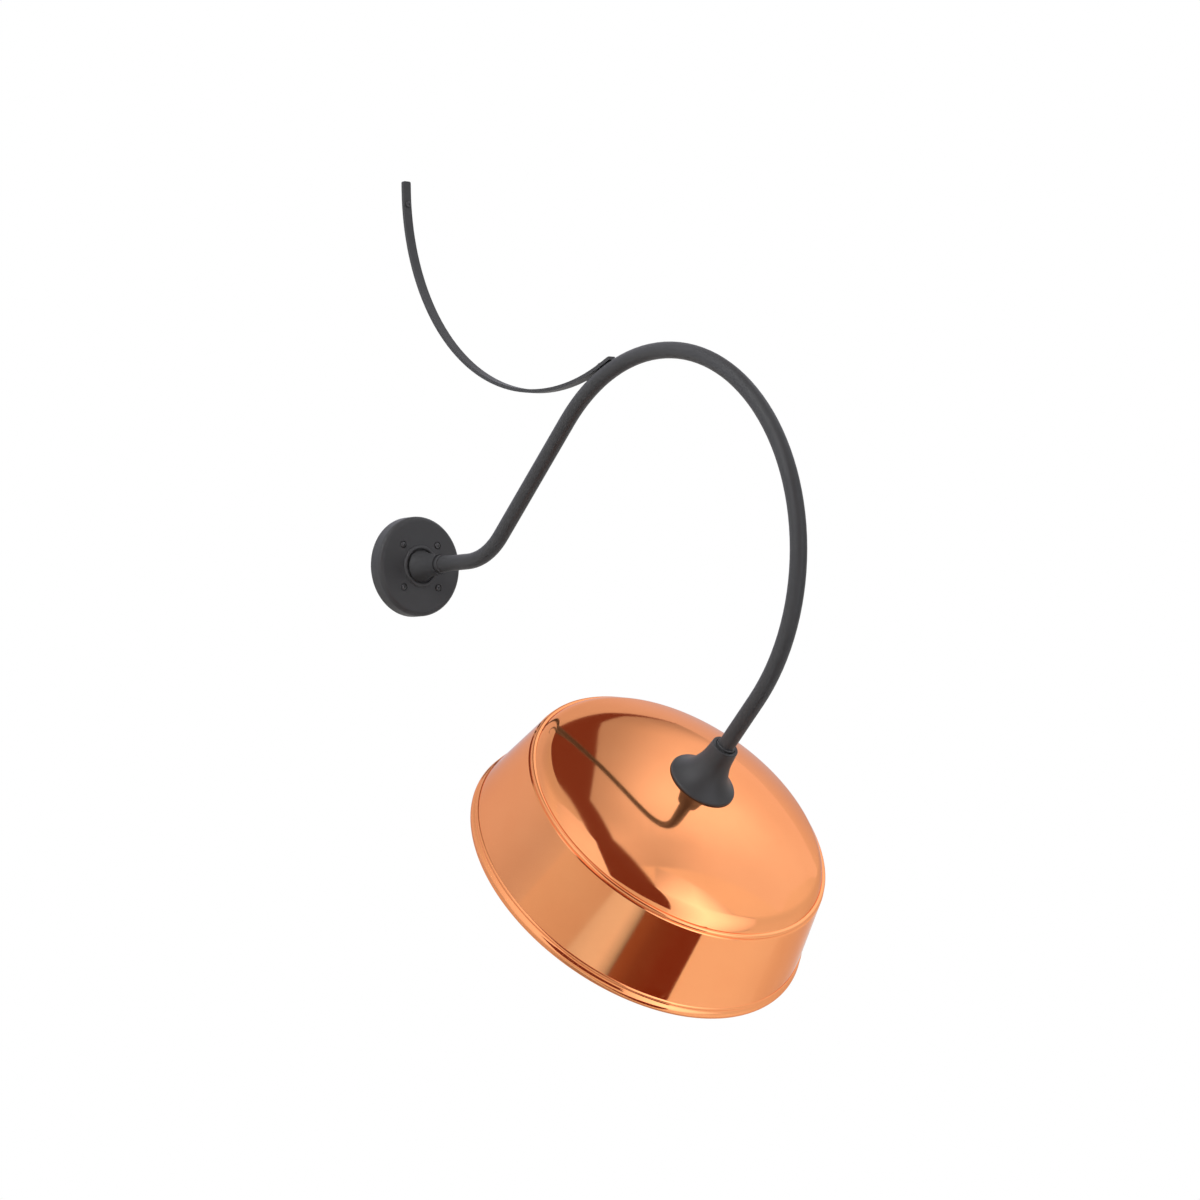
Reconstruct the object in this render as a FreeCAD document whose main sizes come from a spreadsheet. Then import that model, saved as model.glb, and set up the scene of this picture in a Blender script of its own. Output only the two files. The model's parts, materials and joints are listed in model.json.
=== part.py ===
import FreeCAD, Part
import math
import os
import Sketcher

# Gooseneck wall sconce with a spun metal shade, in millimetres.
# The origin is the centre of the flange's back face. The wall is the plane y = 0, the lamp reaches
# out from it along -Y, +Z is up, and the arm, the strap and the shade's axis lie in the plane x = 0.

DIMENSIONS = {
    # wall flange: a cast dish with a flared hub, held by four screws on a square
    "flange_radius": 68.6,
    "flange_depth": 22.1,
    "flange_edge_round": 6.5,
    "flange_plate": 7.1,
    "flange_rim_wall": 9.7,
    "flange_lip": 4.0,
    "gasket_thickness": 2.6,
    "bead_gap": 0.7,
    "bead_round": 3.0,
    "hub_flare": 8.0,
    "nose_wall": 0.63,
    "hub_nose_length": 4.0,
    "hub_reach": 67.0,
    "hub_flare_round": 110.0,
    "hub_back_radius": 15.0,
    "hub_back_setback": 6.0,
    "cable_bore": 8.2,
    "nose_groove": 1.2,
    "screw_square": 58.1,
    "screw_boss_radius": 6.2,
    "screw_boss_setback": 0.6,
    "screw_boss_overlap": 1.0,
    "wall_screw_radius": 2.4,
    "wall_screw_neck": 2.2,
    "wall_screw_plain": 0.5,
    "wall_screw_grip": 30.0,
    "wall_screw_point": 5.0,
    "wall_screw_clearance": 0.5,
    "counterbore_radius": 5.3,
    "counterbore_depth": 1.5,
    "pan_head_radius": 4.3,
    "pan_head_height": 3.0,
    # arm: one length of bent pipe
    "arm_radius": 10.67,
    "arm_wall": 2.77,
    "arm_start": 12.0,
    "arm_run": 128.5,
    "first_bend": 104.3,
    "first_turn": 44.0,
    "arm_rise": 202.5,
    "big_bend": 259.1,
    "big_turn": 181.0,
    "arm_tail": 98.0,
    "arm_fit": 0.05,
    # seal rings where the arm enters the hub and the neck
    "seal_thickness": 1.6,
    "seal_depth": 6.0,
    "seal_stand": 6.0,
    "seal_fit": 0.1,
    "seal_round": 0.8,
    # set screws that lock the arm
    "grub_radius": 2.5,
    "grub_fit": 0.05,
    "grub_socket": 1.2,
    "grub_socket_depth": 2.0,
    "hub_grub_place": 50.0,
    "neck_grub_setback": 13.2,
    "grub_setback": 0.6,
    "cut_reach": 5.0,
    # support strap: a flat bar from the wall to the crown of the arm
    "strap_radius": 308.0,
    "strap_thickness": 4.8,
    "strap_width": 12.7,
    "strap_corner": 2.5,
    "strap_flat": 12.044679,
    "strap_tail": 17.0,
    "strap_gap": 0.2,
    "strap_hole_drop": 20.155321,
    "strap_bolt_setback": 8.0,
    "strap_bolt_length": 14.0,
    "strap_bolt_point": 0.8,
    "strap_hole_clearance": 0.2,
    "insert_radius": 3.5,
    "insert_bulge": 4.4,
    "insert_length": 9.0,
    "insert_bulge_top": 4.3,
    "insert_bulge_length": 2.0,
    # neck: the bell-shaped casting between the arm and the shade
    "arm_grip": 18.2,
    "neck_collar_wall": 3.83,
    "neck_top_round": 1.0,
    "neck_collar_length": 17.0,
    "neck_collar_taper": 1.5,
    "neck_waist_flare": 4.8,
    "neck_waist_length": 19.2,
    "neck_waist_round": 67.0,
    "neck_skirt_length": 21.3,
    "neck_skirt_lead": 0.6,
    "neck_edge_slope": 1.7,
    "neck_edge_round": 4.0,
    "neck_skirt_round": 40.0,
    "neck_base_margin": 9.3,
    "neck_edge_reach": 2.9,
    "neck_edge": 3.1,
    "neck_wall": 5.0,
    "neck_mouth_margin": 2.0,
    "neck_mouth_step": 1.0,
    "neck_shoulder": 3.0,
    "neck_screw_inset": 4.5,
    "neck_screw_depth": 4.2,
    "shade_gasket_thickness": 1.0,
    # shade: one spun sheet
    "sheet": 1.1,
    "shade_hole_inset": 0.5,
    "seat_margin": 1.7,
    "seat_undercut": 0.3,
    "crown_round": 414.0,
    "shoulder_round": 35.0,
    "dome_edge_radius": 202.5,
    "shoulder_fall": 7.158701,
    "ledge": 2.3,
    "top_bead_round": 3.0,
    "band_start": 0.3,
    "band_step": 1.4,
    "band_length": 98.0,
    "band_flare": 21.1,
    "step_bead_round": 2.6,
    "rim_roll_round": 7.0,
    "rim_step": 4.9,
    "rim_drop": 1.87388,
    # carrier plate and lampholder inside the shade
    "plate_margin": 9.0,
    "plate_thickness": 2.0,
    "plate_hole": 12.4,
    "plate_screw_radius": 2.0,
    "plate_screw_fit": 0.05,
    "plate_screw_gap": 0.5,
    "plate_screw_point": 0.6,
    "through_clearance": 0.3,
    "holder_flange_margin": 4.2,
    "holder_flange": 8.0,
    "holder_wall": 6.2,
    "holder_length": 48.0,
    "holder_recess_radius": 12.5,
    "holder_recess": 7.0,
    "holder_floor": 6.0,
    "shell_room": 0.2,
    "holder_lip_round": 1.2,
    "holder_screw_gap": 0.7,
    "small_screw_tail": 1.5,
    "small_screw_point": 0.5,
    "holder_screw_radius": 1.6,
    "holder_screw_fit": 0.05,
    "small_head_radius": 3.1,
    "small_head_height": 2.2,
    "shell_radius": 13.1,
    "shell_foot_radius": 12.6,
    "shell_foot_length": 5.4,
    "shell_foot_cone": 0.7,
    "shell_sheet": 0.5,
    "shell_length": 29.5,
    "shell_floor_hole": 6.5,
    "shell_lip": 0.5,
    "rivet_circle_x": 9.5,
    "rivet_circle_y": 3.2,
    "rivet_radius": 1.2,
    "rivet_head_radius": 2.2,
    "rivet_head": 0.8,
    # sprung centre contact
    "guide_radius": 3.95,
    "guide_wall": 0.9,
    "guide_lip_radius": 5.2,
    "guide_lip": 0.6,
    "guide_tail": 3.6,
    "piston_length": 2.0,
    "piston_fit": 0.05,
    "piston_gap": 0.1,
    "stem_radius": 2.1,
    "contact_lift": 1.8,
    "contact_head_radius": 4.4,
    "contact_head": 1.5,
    "spring_radius": 2.25,
    "spring_wire": 0.3,
    "spring_pitch": 1.3,
    "spring_end_gap": 0.1,
    # insulated leads inside the arm
    "lead_radius": 1.3,
    "lead_start": 2.0,
    "lead_touch": 0.1,
    "lead_spread": 3.2,
    "lead_drop": 3.2,
    "earth_drop": 4.8,
    "earth_screw_place": 18.0,
    "earth_screw_short": 0.2,
    "earth_screw_point": 0.4,
    "lead_swing_start": 101.0,
    "lead_swing_turn": 35.0,
}

doc = FreeCAD.newDocument("gooseneck_sconce")
sheet = doc.addObject("Spreadsheet::Sheet", "dims")
for row, (alias, number) in enumerate(DIMENSIONS.items(), 1):
    sheet.set(f"A{row}", alias)
    sheet.set(f"B{row}", str(number))
    sheet.setAlias(f"B{row}", alias)
doc.recompute()
worked_out = doc.addObject("App::VarSet", "worked_out")


class Size:
    """A number together with the formula that gives it from the sheet."""

    def __init__(self, value, formula):
        self.value = float(value)
        self.formula = formula

    def __add__(self, other):
        other = as_size(other)
        return Size(self.value + other.value, f"({self.formula} + {other.formula})")

    def __sub__(self, other):
        other = as_size(other)
        return Size(self.value - other.value, f"({self.formula} - {other.formula})")

    def __mul__(self, other):
        other = as_size(other)
        return Size(self.value * other.value, f"({self.formula} * {other.formula})")

    def __truediv__(self, other):
        other = as_size(other)
        return Size(self.value / other.value, f"({self.formula} / {other.formula})")

    def __rsub__(self, other):
        return as_size(other) - self

    def __neg__(self):
        return as_size(0) - self

    __radd__ = __add__
    __rmul__ = __mul__


def as_size(number):
    return number if isinstance(number, Size) else Size(number, f"{number}")


def root(size):
    return Size(math.sqrt(size.value), f"sqrt({size.formula})")


def sine(angle):
    return Size(math.sin(math.radians(angle.value)), f"sin({angle.formula} * 1 deg)")


def cosine(angle):
    return Size(math.cos(math.radians(angle.value)), f"cos({angle.formula} * 1 deg)")


def arcsine(size):
    return Size(math.degrees(math.asin(size.value)), f"(asin({size.formula}) / 1 deg)")


def named(name, size):
    """Keep a worked-out size under its own name, so that later formulas stay short."""
    worked_out.addProperty("App::PropertyFloat", name, "Sizes")
    worked_out.setExpression(name, size.formula)
    return Size(size.value, f"worked_out.{name}")


class Dimensions:
    """Every cell of the sheet as a Size, under its alias."""


d = Dimensions()
for alias, number in DIMENSIONS.items():
    setattr(d, alias, Size(number, f"dims.{alias}"))


def follow(name, size):
    """A size that follows from others, kept beside the sheet's own."""
    setattr(d, name, named(name, size))


follow("arm_bore", d.arm_radius + d.arm_fit)
follow("seal_bore", d.arm_radius + d.seal_thickness + d.seal_fit)
follow("hub_nose_radius", d.seal_bore + d.nose_groove + d.nose_wall)
follow("hub_foot_radius", d.hub_nose_radius + d.hub_flare)
follow("bead_circle", d.hub_foot_radius + d.bead_gap + d.bead_round)
follow("neck_top", d.arm_tail - d.arm_grip)
follow("neck_grub_place", d.neck_top + d.neck_grub_setback)
follow("neck_waist_place", d.neck_top + d.neck_collar_length + d.neck_waist_length)
follow("neck_skirt", d.neck_waist_place + d.neck_skirt_length + d.neck_skirt_lead)
follow("neck_base", d.neck_skirt + d.neck_edge)
follow("neck_top_radius", d.seal_bore + d.nose_groove + d.neck_collar_wall)
follow("neck_waist_radius", d.neck_top_radius + d.neck_collar_taper + d.neck_waist_flare)
follow("holder_cavity_radius", d.shell_radius + d.shell_sheet + d.shell_lip + d.shell_room)
follow("holder_radius", d.holder_cavity_radius + d.holder_wall)
follow("holder_screw_circle", d.holder_radius + d.small_head_radius + d.holder_screw_gap)
follow("holder_flange_radius", d.holder_screw_circle + d.holder_flange_margin)
follow("neck_mouth_radius", d.holder_flange_radius + d.neck_mouth_margin)
follow("neck_screw_circle", d.neck_mouth_radius + d.neck_screw_inset)
follow("neck_base_radius", d.neck_screw_circle + d.neck_base_margin)
follow("neck_skirt_radius", d.neck_base_radius - d.neck_edge_reach)
follow("plate_radius", d.neck_screw_circle + d.plate_margin)
follow("shade_hole", d.neck_mouth_radius - d.shade_hole_inset)
follow("shade_seat_radius", d.neck_base_radius + d.seat_margin)
follow("band_top_radius", d.dome_edge_radius + d.ledge + d.top_bead_round + d.band_step)
follow("band_foot_radius", d.band_top_radius + d.band_flare)
follow("rim_radius", d.band_foot_radius + d.rim_step)


class Axis:
    """A working axis in the plane x = 0: its origin, and the turn about X that lays local Z along it."""

    def __init__(self, y, z, turn):
        self.y = as_size(y)
        self.z = as_size(z)
        self.turn = as_size(turn)

    def at(self, along=0, up=0):
        """The point at a distance along the axis and a distance along local Y."""
        y = self.y - sine(self.turn) * along + cosine(self.turn) * up
        z = self.z + cosine(self.turn) * along + sine(self.turn) * up
        return y, z

    def place(self, obj, side=0, up=0, along=0):
        y, z = self.at(along, up)
        x = as_size(side)
        turn = FreeCAD.Rotation(FreeCAD.Vector(1, 0, 0), self.turn.value)
        obj.Placement = FreeCAD.Placement(FreeCAD.Vector(x.value, y.value, z.value), turn)
        obj.setExpression("Placement.Base.x", x.formula)
        obj.setExpression("Placement.Base.y", y.formula)
        obj.setExpression("Placement.Base.z", z.formula)
        obj.setExpression("Placement.Rotation.Angle", self.turn.formula)


# --- the arm's centreline, and the axes that the other pieces follow ---------------------------

heading_out = named("heading_out", d.first_turn - d.big_turn)
rise_foot_y = named("rise_foot_y", -d.arm_run - d.first_bend * sine(d.first_turn))
rise_foot_z = named("rise_foot_z", d.first_bend - d.first_bend * cosine(d.first_turn))
rise_head_y = named("rise_head_y", rise_foot_y - d.arm_rise * cosine(d.first_turn))
rise_head_z = named("rise_head_z", rise_foot_z + d.arm_rise * sine(d.first_turn))
bend_centre_y = named("bend_centre_y", rise_head_y - d.big_bend * sine(d.first_turn))
bend_centre_z = named("bend_centre_z", rise_head_z - d.big_bend * cosine(d.first_turn))


def on_big_bend(heading):
    """The centreline's point where the arm's heading is this many degrees above level."""
    return bend_centre_y + d.big_bend * sine(heading), bend_centre_z + d.big_bend * cosine(heading)


tail_y = named("tail_y", on_big_bend(heading_out)[0])
tail_z = named("tail_z", on_big_bend(heading_out)[1])
WALL = Axis(0, 0, 90)
LAMP = Axis(tail_y, tail_z, named("lamp_turn", 90 - heading_out))

# The strap's outer face touches the wall plane at its top and rides just over the arm's crown.
strap_outer = named("strap_outer", d.strap_radius + d.strap_thickness / 2)
strap_inner = named("strap_inner", d.strap_radius - d.strap_thickness / 2)
crown_radius = named("crown_radius", d.big_bend + d.arm_radius)
centre_distance = named("centre_distance", crown_radius + d.strap_gap + strap_outer)
lean_y = named("lean_y", (-strap_outer - bend_centre_y) / centre_distance)
lean_z = named("lean_z", root(1 - lean_y * lean_y))
strap_centre_y = named("strap_centre_y", -strap_outer)
strap_centre_z = named("strap_centre_z", bend_centre_z + centre_distance * lean_z)
strap_top = named("strap_top", strap_centre_z + d.strap_flat)
strap_hole_height = named("strap_hole_height", strap_centre_z - d.strap_hole_drop)
bolt_lean = named("bolt_lean", arcsine(lean_y) + arcsine(d.strap_bolt_setback / crown_radius))
BOLT = Axis(
    named("bolt_y", bend_centre_y + crown_radius * sine(bolt_lean)),
    named("bolt_z", bend_centre_z + crown_radius * cosine(bolt_lean)),
    named("bolt_turn", -bolt_lean),
)


# --- drawing ------------------------------------------------------------------------------------


def new_sketch(body, role, offset=None):
    """A sketch on one of the body's own origin planes, raised by an offset along the plane's normal."""
    drawing = body.newObject("Sketcher::SketchObject", f"{body.Name}_sketch")
    plane = next(item for item in body.Origin.OriginFeatures if item.Role == role)
    drawing.AttachmentSupport = [(plane, "")]
    drawing.MapMode = "FlatFace"
    if offset is not None:
        drawing.AttachmentOffset = FreeCAD.Placement(FreeCAD.Vector(0, 0, offset.value), FreeCAD.Rotation())
        drawing.setExpression("AttachmentOffset.Base.z", offset.formula)
    return drawing


def bind(drawing, constraint, size):
    index = drawing.addConstraint(constraint)
    drawing.setExpression(f"Constraints[{index}]", size.formula)


def pin_point(drawing, geometry, point, x, y):
    """Hold one point of a sketch at x, y from the sketch's origin."""
    for kind, axis, size in (("DistanceX", -2, as_size(x)), ("DistanceY", -1, as_size(y))):
        if size.value == 0:
            drawing.addConstraint(Sketcher.Constraint("PointOnObject", geometry, point, axis))
        else:
            bind(drawing, Sketcher.Constraint(kind, -1, 1, geometry, point, size.value), size)


def arc_through(start, end, radius):
    """The shorter arc from start to end that turns left for a positive radius, right for a negative."""
    span = end - start
    rise = math.sqrt(max(radius**2 - span.Length**2 / 4, 0)) * math.copysign(1 / span.Length, radius)
    centre = (start + end) / 2 + FreeCAD.Vector(-span.y, span.x, 0) * rise
    ends = [math.atan2(point.y - centre.y, point.x - centre.x) for point in (start, end)]
    if radius < 0:
        ends.reverse()
    circle = Part.Circle(centre, FreeCAD.Vector(0, 0, 1), abs(radius))
    return Part.ArcOfCircle(circle, ends[0], ends[1])


def draw_path(drawing, corners, closed=True):
    """Draw a chain of lines and arcs through corners (x, y) or (x, y, radius).

    A radius bends the stretch that leaves its corner: to the left when positive, to the right when
    negative. Every corner and radius is bound to its size.
    """
    points = [FreeCAD.Vector(as_size(c[0]).value, as_size(c[1]).value, 0) for c in corners]
    count = len(corners) if closed else len(corners) - 1
    stretches = []
    for i in range(count):
        start, end = points[i], points[(i + 1) % len(points)]
        if len(corners[i]) == 3:
            radius = as_size(corners[i][2])
            index = drawing.addGeometry(arc_through(start, end, radius.value))
            stretches.append((index, 1, 2) if radius.value > 0 else (index, 2, 1))
            size = radius if radius.value > 0 else -radius
            bind(drawing, Sketcher.Constraint("Radius", index, size.value), size)
        else:
            index = drawing.addGeometry(Part.LineSegment(start, end))
            stretches.append((index, 1, 2))
    for i, (index, first, last) in enumerate(stretches):
        pin_point(drawing, index, first, corners[i][0], corners[i][1])
        if closed or i + 1 < count:
            following = stretches[(i + 1) % count]
            drawing.addConstraint(Sketcher.Constraint("Coincident", index, last, following[0], following[1]))
    if not closed:
        pin_point(drawing, stretches[-1][0], stretches[-1][2], corners[-1][0], corners[-1][1])


def draw_circle(drawing, x, y, radius):
    centre = FreeCAD.Vector(as_size(x).value, as_size(y).value, 0)
    index = drawing.addGeometry(Part.Circle(centre, FreeCAD.Vector(0, 0, 1), radius.value))
    pin_point(drawing, index, 3, x, y)
    bind(drawing, Sketcher.Constraint("Radius", index, radius.value), radius)


def new_body(name):
    return doc.addObject("PartDesign::Body", name)


def turned(name, corners):
    """A body turned about its local Z from an outline of (radius, height) corners."""
    body = new_body(name)
    drawing = new_sketch(body, "XZ_Plane")
    draw_path(drawing, corners)
    solid = body.newObject("PartDesign::Revolution", f"{name}_turned")
    solid.Profile = drawing
    solid.ReferenceAxis = (drawing, ["V_Axis"])
    solid.Angle = 360
    body.Tip = solid
    return body


def ring(name, inner, outer, low, high):
    return turned(name, [(inner, low), (outer, low), (outer, high), (inner, high)])


def drilled(body, x, y, radius, top=None, depth=None):
    """Cut a round hole along local Z: right through, or down from a height to a depth."""
    drawing = new_sketch(body, "XY_Plane", top)
    draw_circle(drawing, x, y, radius)
    hole = body.newObject("PartDesign::Pocket", f"{body.Name}_hole")
    hole.Profile = drawing
    if top is None:
        hole.Type = "ThroughAll"
        hole.SideType = "Symmetric"
    else:
        hole.Length = depth.value
        hole.setExpression("Length", depth.formula)
    body.Tip = hole
    return hole


def repeated(body, features, count):
    """Repeat features evenly round the body's local Z."""
    pattern = body.newObject("PartDesign::PolarPattern", f"{body.Name}_pattern")
    pattern.Originals = features
    axis = next(item for item in body.Origin.OriginFeatures if item.Role == "Z_Axis")
    pattern.Axis = (axis, [""])
    pattern.Angle = 360
    pattern.Occurrences = count
    body.Tip = pattern


def cross_recess(body, top, reach):
    """A cross-shaped driver recess in a screw head."""
    half = reach * 0.22
    drawing = new_sketch(body, "XY_Plane", top)
    corners = [(half, half), (half, reach), (-half, reach), (-half, half), (-reach, half), (-reach, -half)]
    corners += [(-x, -y) for x, y in corners]
    draw_path(drawing, corners)
    recess = body.newObject("PartDesign::Pocket", f"{body.Name}_recess")
    recess.Profile = drawing
    recess.Length = reach.value / 2
    recess.setExpression("Length", (reach / 2).formula)
    body.Tip = recess


def pan_screw(name, seat, tip, thread, head_radius, head_height, point, neck=None, thread_top=None):
    """A pan-head screw along local Z: its head sits on the seat and its thread runs down to the tip.

    A neck, where there is one, is the plain shank between the thread's top and the head.
    """
    top = seat + head_height
    shank = thread if neck is None else neck
    corners = [
        (0, tip),
        (thread * 0.4, tip),
        (thread, tip + point),
        *([] if neck is None else [(thread, thread_top), (neck, thread_top)]),
        (shank, seat),
        (head_radius, seat),
        (head_radius, seat + head_height * 0.3, head_radius),
        (head_radius * 0.5, top),
        (0, top),
    ]
    body = turned(name, corners)
    cross_recess(body, top, head_radius * 0.5)
    return body


def grub_screw(name, inner, outer):
    """A headless set screw with a six-sided socket in its outer end."""
    bevel = d.grub_radius * 0.25
    corners = [
        (0, inner),
        (d.grub_radius - bevel, inner),
        (d.grub_radius, inner + bevel),
        (d.grub_radius, outer),
        (0, outer),
    ]
    body = turned(name, corners)
    drawing = new_sketch(body, "XY_Plane", outer)
    half, tall = d.grub_socket / 2, d.grub_socket * root(as_size(0.75))
    corners = [(d.grub_socket, 0), (half, tall), (-half, tall), (-d.grub_socket, 0), (-half, -tall), (half, -tall)]
    draw_path(drawing, corners)
    socket = body.newObject("PartDesign::Pocket", f"{name}_socket")
    socket.Profile = drawing
    socket.Length = d.grub_socket_depth.value
    socket.setExpression("Length", d.grub_socket_depth.formula)
    body.Tip = socket
    return body


def drill_rod(name, axis, radius, low, high):
    """A plain cylinder along an axis, used to cut a cross hole."""
    rod = doc.addObject("Part::Cylinder", name)
    rod.setExpression("Radius", radius.formula)
    rod.setExpression("Height", (high - low).formula)
    rod.Radius = radius.value
    rod.Height = (high - low).value
    axis.place(rod, along=low)
    return rod


def cut_away(name, base, *tools):
    """The base less each tool in turn."""
    for number, tool in enumerate(tools, 1):
        less = doc.addObject("Part::Cut", name if number == len(tools) else f"{name}_cut_{number}")
        less.Base = base
        less.Tool = tool
        base = less
    return base


def grouped(name, members):
    group = doc.addObject("Part::Compound", name)
    group.Links = members
    return group


nodes = {}


def keep(name, obj):
    """Give a finished sub-part its own label, under which it is written out."""
    obj.Label = name
    nodes[name] = obj


# --- wall flange --------------------------------------------------------------------------------

HUB_GRUB = Axis(-d.hub_grub_place, 0, 0)
NECK_GRUB = Axis(*[named(f"neck_grub_{part}", size) for part, size in zip("yz", LAMP.at(d.neck_grub_place))],
                 -heading_out - 180)


def make_wall_flange():
    ceiling = d.flange_depth - d.flange_plate
    cavity = d.flange_radius - d.flange_rim_wall
    lip = d.flange_radius - d.flange_lip
    nose = d.hub_reach - d.hub_nose_length
    corners = [
        (lip, 0),
        (d.flange_radius, 0),
        (d.flange_radius, d.flange_depth - d.flange_edge_round, d.flange_edge_round),
        (d.flange_radius - d.flange_edge_round, d.flange_depth),
        (d.bead_circle + d.bead_round, d.flange_depth, d.bead_round),
        (d.bead_circle, d.flange_depth + d.bead_round, d.bead_round),
        (d.bead_circle - d.bead_round, d.flange_depth),
        (d.hub_foot_radius, d.flange_depth, -d.hub_flare_round),
        (d.hub_nose_radius, nose),
        (d.hub_nose_radius, d.hub_reach),
        (d.seal_bore + d.nose_groove, d.hub_reach),
        (d.seal_bore + d.nose_groove, d.hub_reach - d.nose_groove),
        (d.seal_bore, d.hub_reach - d.nose_groove),
        (d.seal_bore, d.hub_reach - d.seal_depth),
        (d.arm_bore, d.hub_reach - d.seal_depth),
        (d.arm_bore, d.arm_start),
        (d.cable_bore, d.arm_start),
        (d.cable_bore, d.hub_back_setback),
        (d.hub_back_radius, d.hub_back_setback),
        (d.hub_back_radius, ceiling),
        (cavity, ceiling),
        (cavity, d.gasket_thickness),
        (lip, d.gasket_thickness),
    ]
    body = turned("flange_casting", corners)
    corner = d.screw_square / 2
    drawing = new_sketch(body, "XY_Plane", d.screw_boss_setback)
    draw_circle(drawing, corner, corner, d.screw_boss_radius)
    boss = body.newObject("PartDesign::Pad", "flange_boss")
    boss.Profile = drawing
    boss_length = ceiling - d.screw_boss_setback + d.screw_boss_overlap
    boss.Length = boss_length.value
    boss.setExpression("Length", boss_length.formula)
    body.Tip = boss
    hole = drilled(body, corner, corner, d.wall_screw_radius + d.wall_screw_clearance)
    sink = drilled(body, corner, corner, d.counterbore_radius, d.flange_depth, d.counterbore_depth)
    repeated(body, [boss, hole, sink], 4)
    WALL.place(body)
    rod = drill_rod("hub_grub_hole", HUB_GRUB, d.grub_radius + d.grub_fit, d.cut_reach,
                   d.hub_foot_radius + d.cut_reach)
    keep("wall_flange", cut_away("wall_flange", body, rod))


def make_flange_gasket():
    inner = d.flange_radius - d.flange_rim_wall
    outer = d.flange_radius - d.flange_lip - d.seal_fit
    gasket = ring("flange_gasket", inner, outer, 0, d.gasket_thickness)
    WALL.place(gasket)
    keep("flange_gasket", gasket)


def make_flange_screws():
    seat = d.flange_depth - d.counterbore_depth
    corner = d.screw_square / 2
    screws = []
    for across, up in ((1, 1), (-1, 1), (-1, -1), (1, -1)):
        name = f"flange_screw_{len(screws) + 1}"
        screw = pan_screw(name, seat, -d.wall_screw_grip, d.wall_screw_radius, d.pan_head_radius,
                          d.pan_head_height, d.wall_screw_point, d.wall_screw_neck, -d.wall_screw_plain)
        WALL.place(screw, side=corner * across, up=corner * up)
        screws.append(screw)
    keep("flange_screws", grouped("flange_screws", screws))


def seal_ring(name, axis, inner_end, outer_end):
    """A soft ring round the arm: its rounded lip stands out of the casting at the outer end."""
    outer = d.arm_radius + d.seal_thickness
    lip = outer_end - d.seal_round if outer_end.value > inner_end.value else outer_end + d.seal_round
    turn = d.seal_round if outer_end.value > inner_end.value else -d.seal_round
    corners = [
        (d.arm_bore, inner_end),
        (outer, inner_end),
        (outer, lip, turn),
        (outer - d.seal_round, outer_end),
        (d.arm_bore, outer_end),
    ]
    body = turned(name, corners)
    axis.place(body)
    keep(name, body)


def make_hub_fittings():
    seal_ring("hub_seal_ring", WALL, d.hub_reach - d.seal_depth, d.hub_reach + d.seal_stand)
    grub = grub_screw("hub_set_screw", d.arm_bore, d.hub_nose_radius + d.grub_setback)
    HUB_GRUB.place(grub)
    keep("hub_set_screw", grub)


# --- arm and strap ------------------------------------------------------------------------------


def make_gooseneck_arm():
    middle_heading = d.first_turn - d.big_turn / 2
    body = new_body("bent_pipe")
    section = new_sketch(body, "XZ_Plane", d.arm_start)
    draw_circle(section, 0, 0, d.arm_radius)
    draw_circle(section, 0, 0, d.arm_radius - d.arm_wall)
    spine = new_sketch(body, "YZ_Plane")
    corners = [
        (-d.arm_start, 0),
        (-d.arm_run, 0, -d.first_bend),
        (rise_foot_y, rise_foot_z),
        (rise_head_y, rise_head_z, d.big_bend),
        (*on_big_bend(middle_heading), d.big_bend),
        (tail_y, tail_z),
        LAMP.at(d.arm_tail),
    ]
    draw_path(spine, corners, closed=False)
    pipe = body.newObject("PartDesign::AdditivePipe", "arm_pipe")
    pipe.Profile = section
    pipe.Spine = spine
    body.Tip = pipe
    rod = drill_rod("insert_hole", BOLT, d.insert_radius + d.grub_fit, -d.arm_radius, d.cut_reach)
    keep("gooseneck_arm", cut_away("gooseneck_arm", body, rod))


def make_support_strap():
    """A flat bar, padded from its side outline: up the wall, round one large arc, and along the arm."""
    touch_y = strap_centre_y - strap_outer * lean_y
    touch_z = strap_centre_z - strap_outer * lean_z
    end_y = touch_y - d.strap_tail * lean_z
    end_z = touch_z + d.strap_tail * lean_y
    corners = [
        (0, strap_top),
        (0, strap_centre_z, -strap_outer),
        (touch_y, touch_z),
        (end_y, end_z),
        (end_y + d.strap_thickness * lean_y, end_z + d.strap_thickness * lean_z),
        (strap_centre_y - strap_inner * lean_y, strap_centre_z - strap_inner * lean_z, strap_inner),
        (-d.strap_thickness, strap_centre_z),
        (-d.strap_thickness, strap_top),
    ]
    body = new_body("strap_bar")
    drawing = new_sketch(body, "YZ_Plane")
    draw_path(drawing, corners)
    bar = body.newObject("PartDesign::Pad", "strap_pad")
    bar.Profile = drawing
    bar.SideType = "Symmetric"
    bar.Length = d.strap_width.value
    bar.setExpression("Length", d.strap_width.formula)
    body.Tip = bar
    doc.recompute()
    corner_edges = [
        f"Edge{number}"
        for number, edge in enumerate(bar.Shape.Edges, 1)
        if abs(edge.Length - d.strap_thickness.value) < 0.001 and is_bar_end(edge.CenterOfMass)
    ]
    rounded = body.newObject("PartDesign::Fillet", "strap_corners")
    rounded.Base = (bar, corner_edges)
    rounded.Radius = d.strap_corner.value
    rounded.setExpression("Radius", d.strap_corner.formula)
    body.Tip = rounded
    wall_rod = drill_rod("strap_wall_hole", Axis(0, strap_hole_height, 90), strap_hole, -d.cut_reach,
                         d.strap_thickness * 2 + d.cut_reach)
    bolt_rod = drill_rod("strap_bolt_hole", BOLT, strap_hole, -d.cut_reach, d.strap_thickness + d.cut_reach)
    keep("support_strap", cut_away("support_strap", body, wall_rod, bolt_rod))


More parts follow.
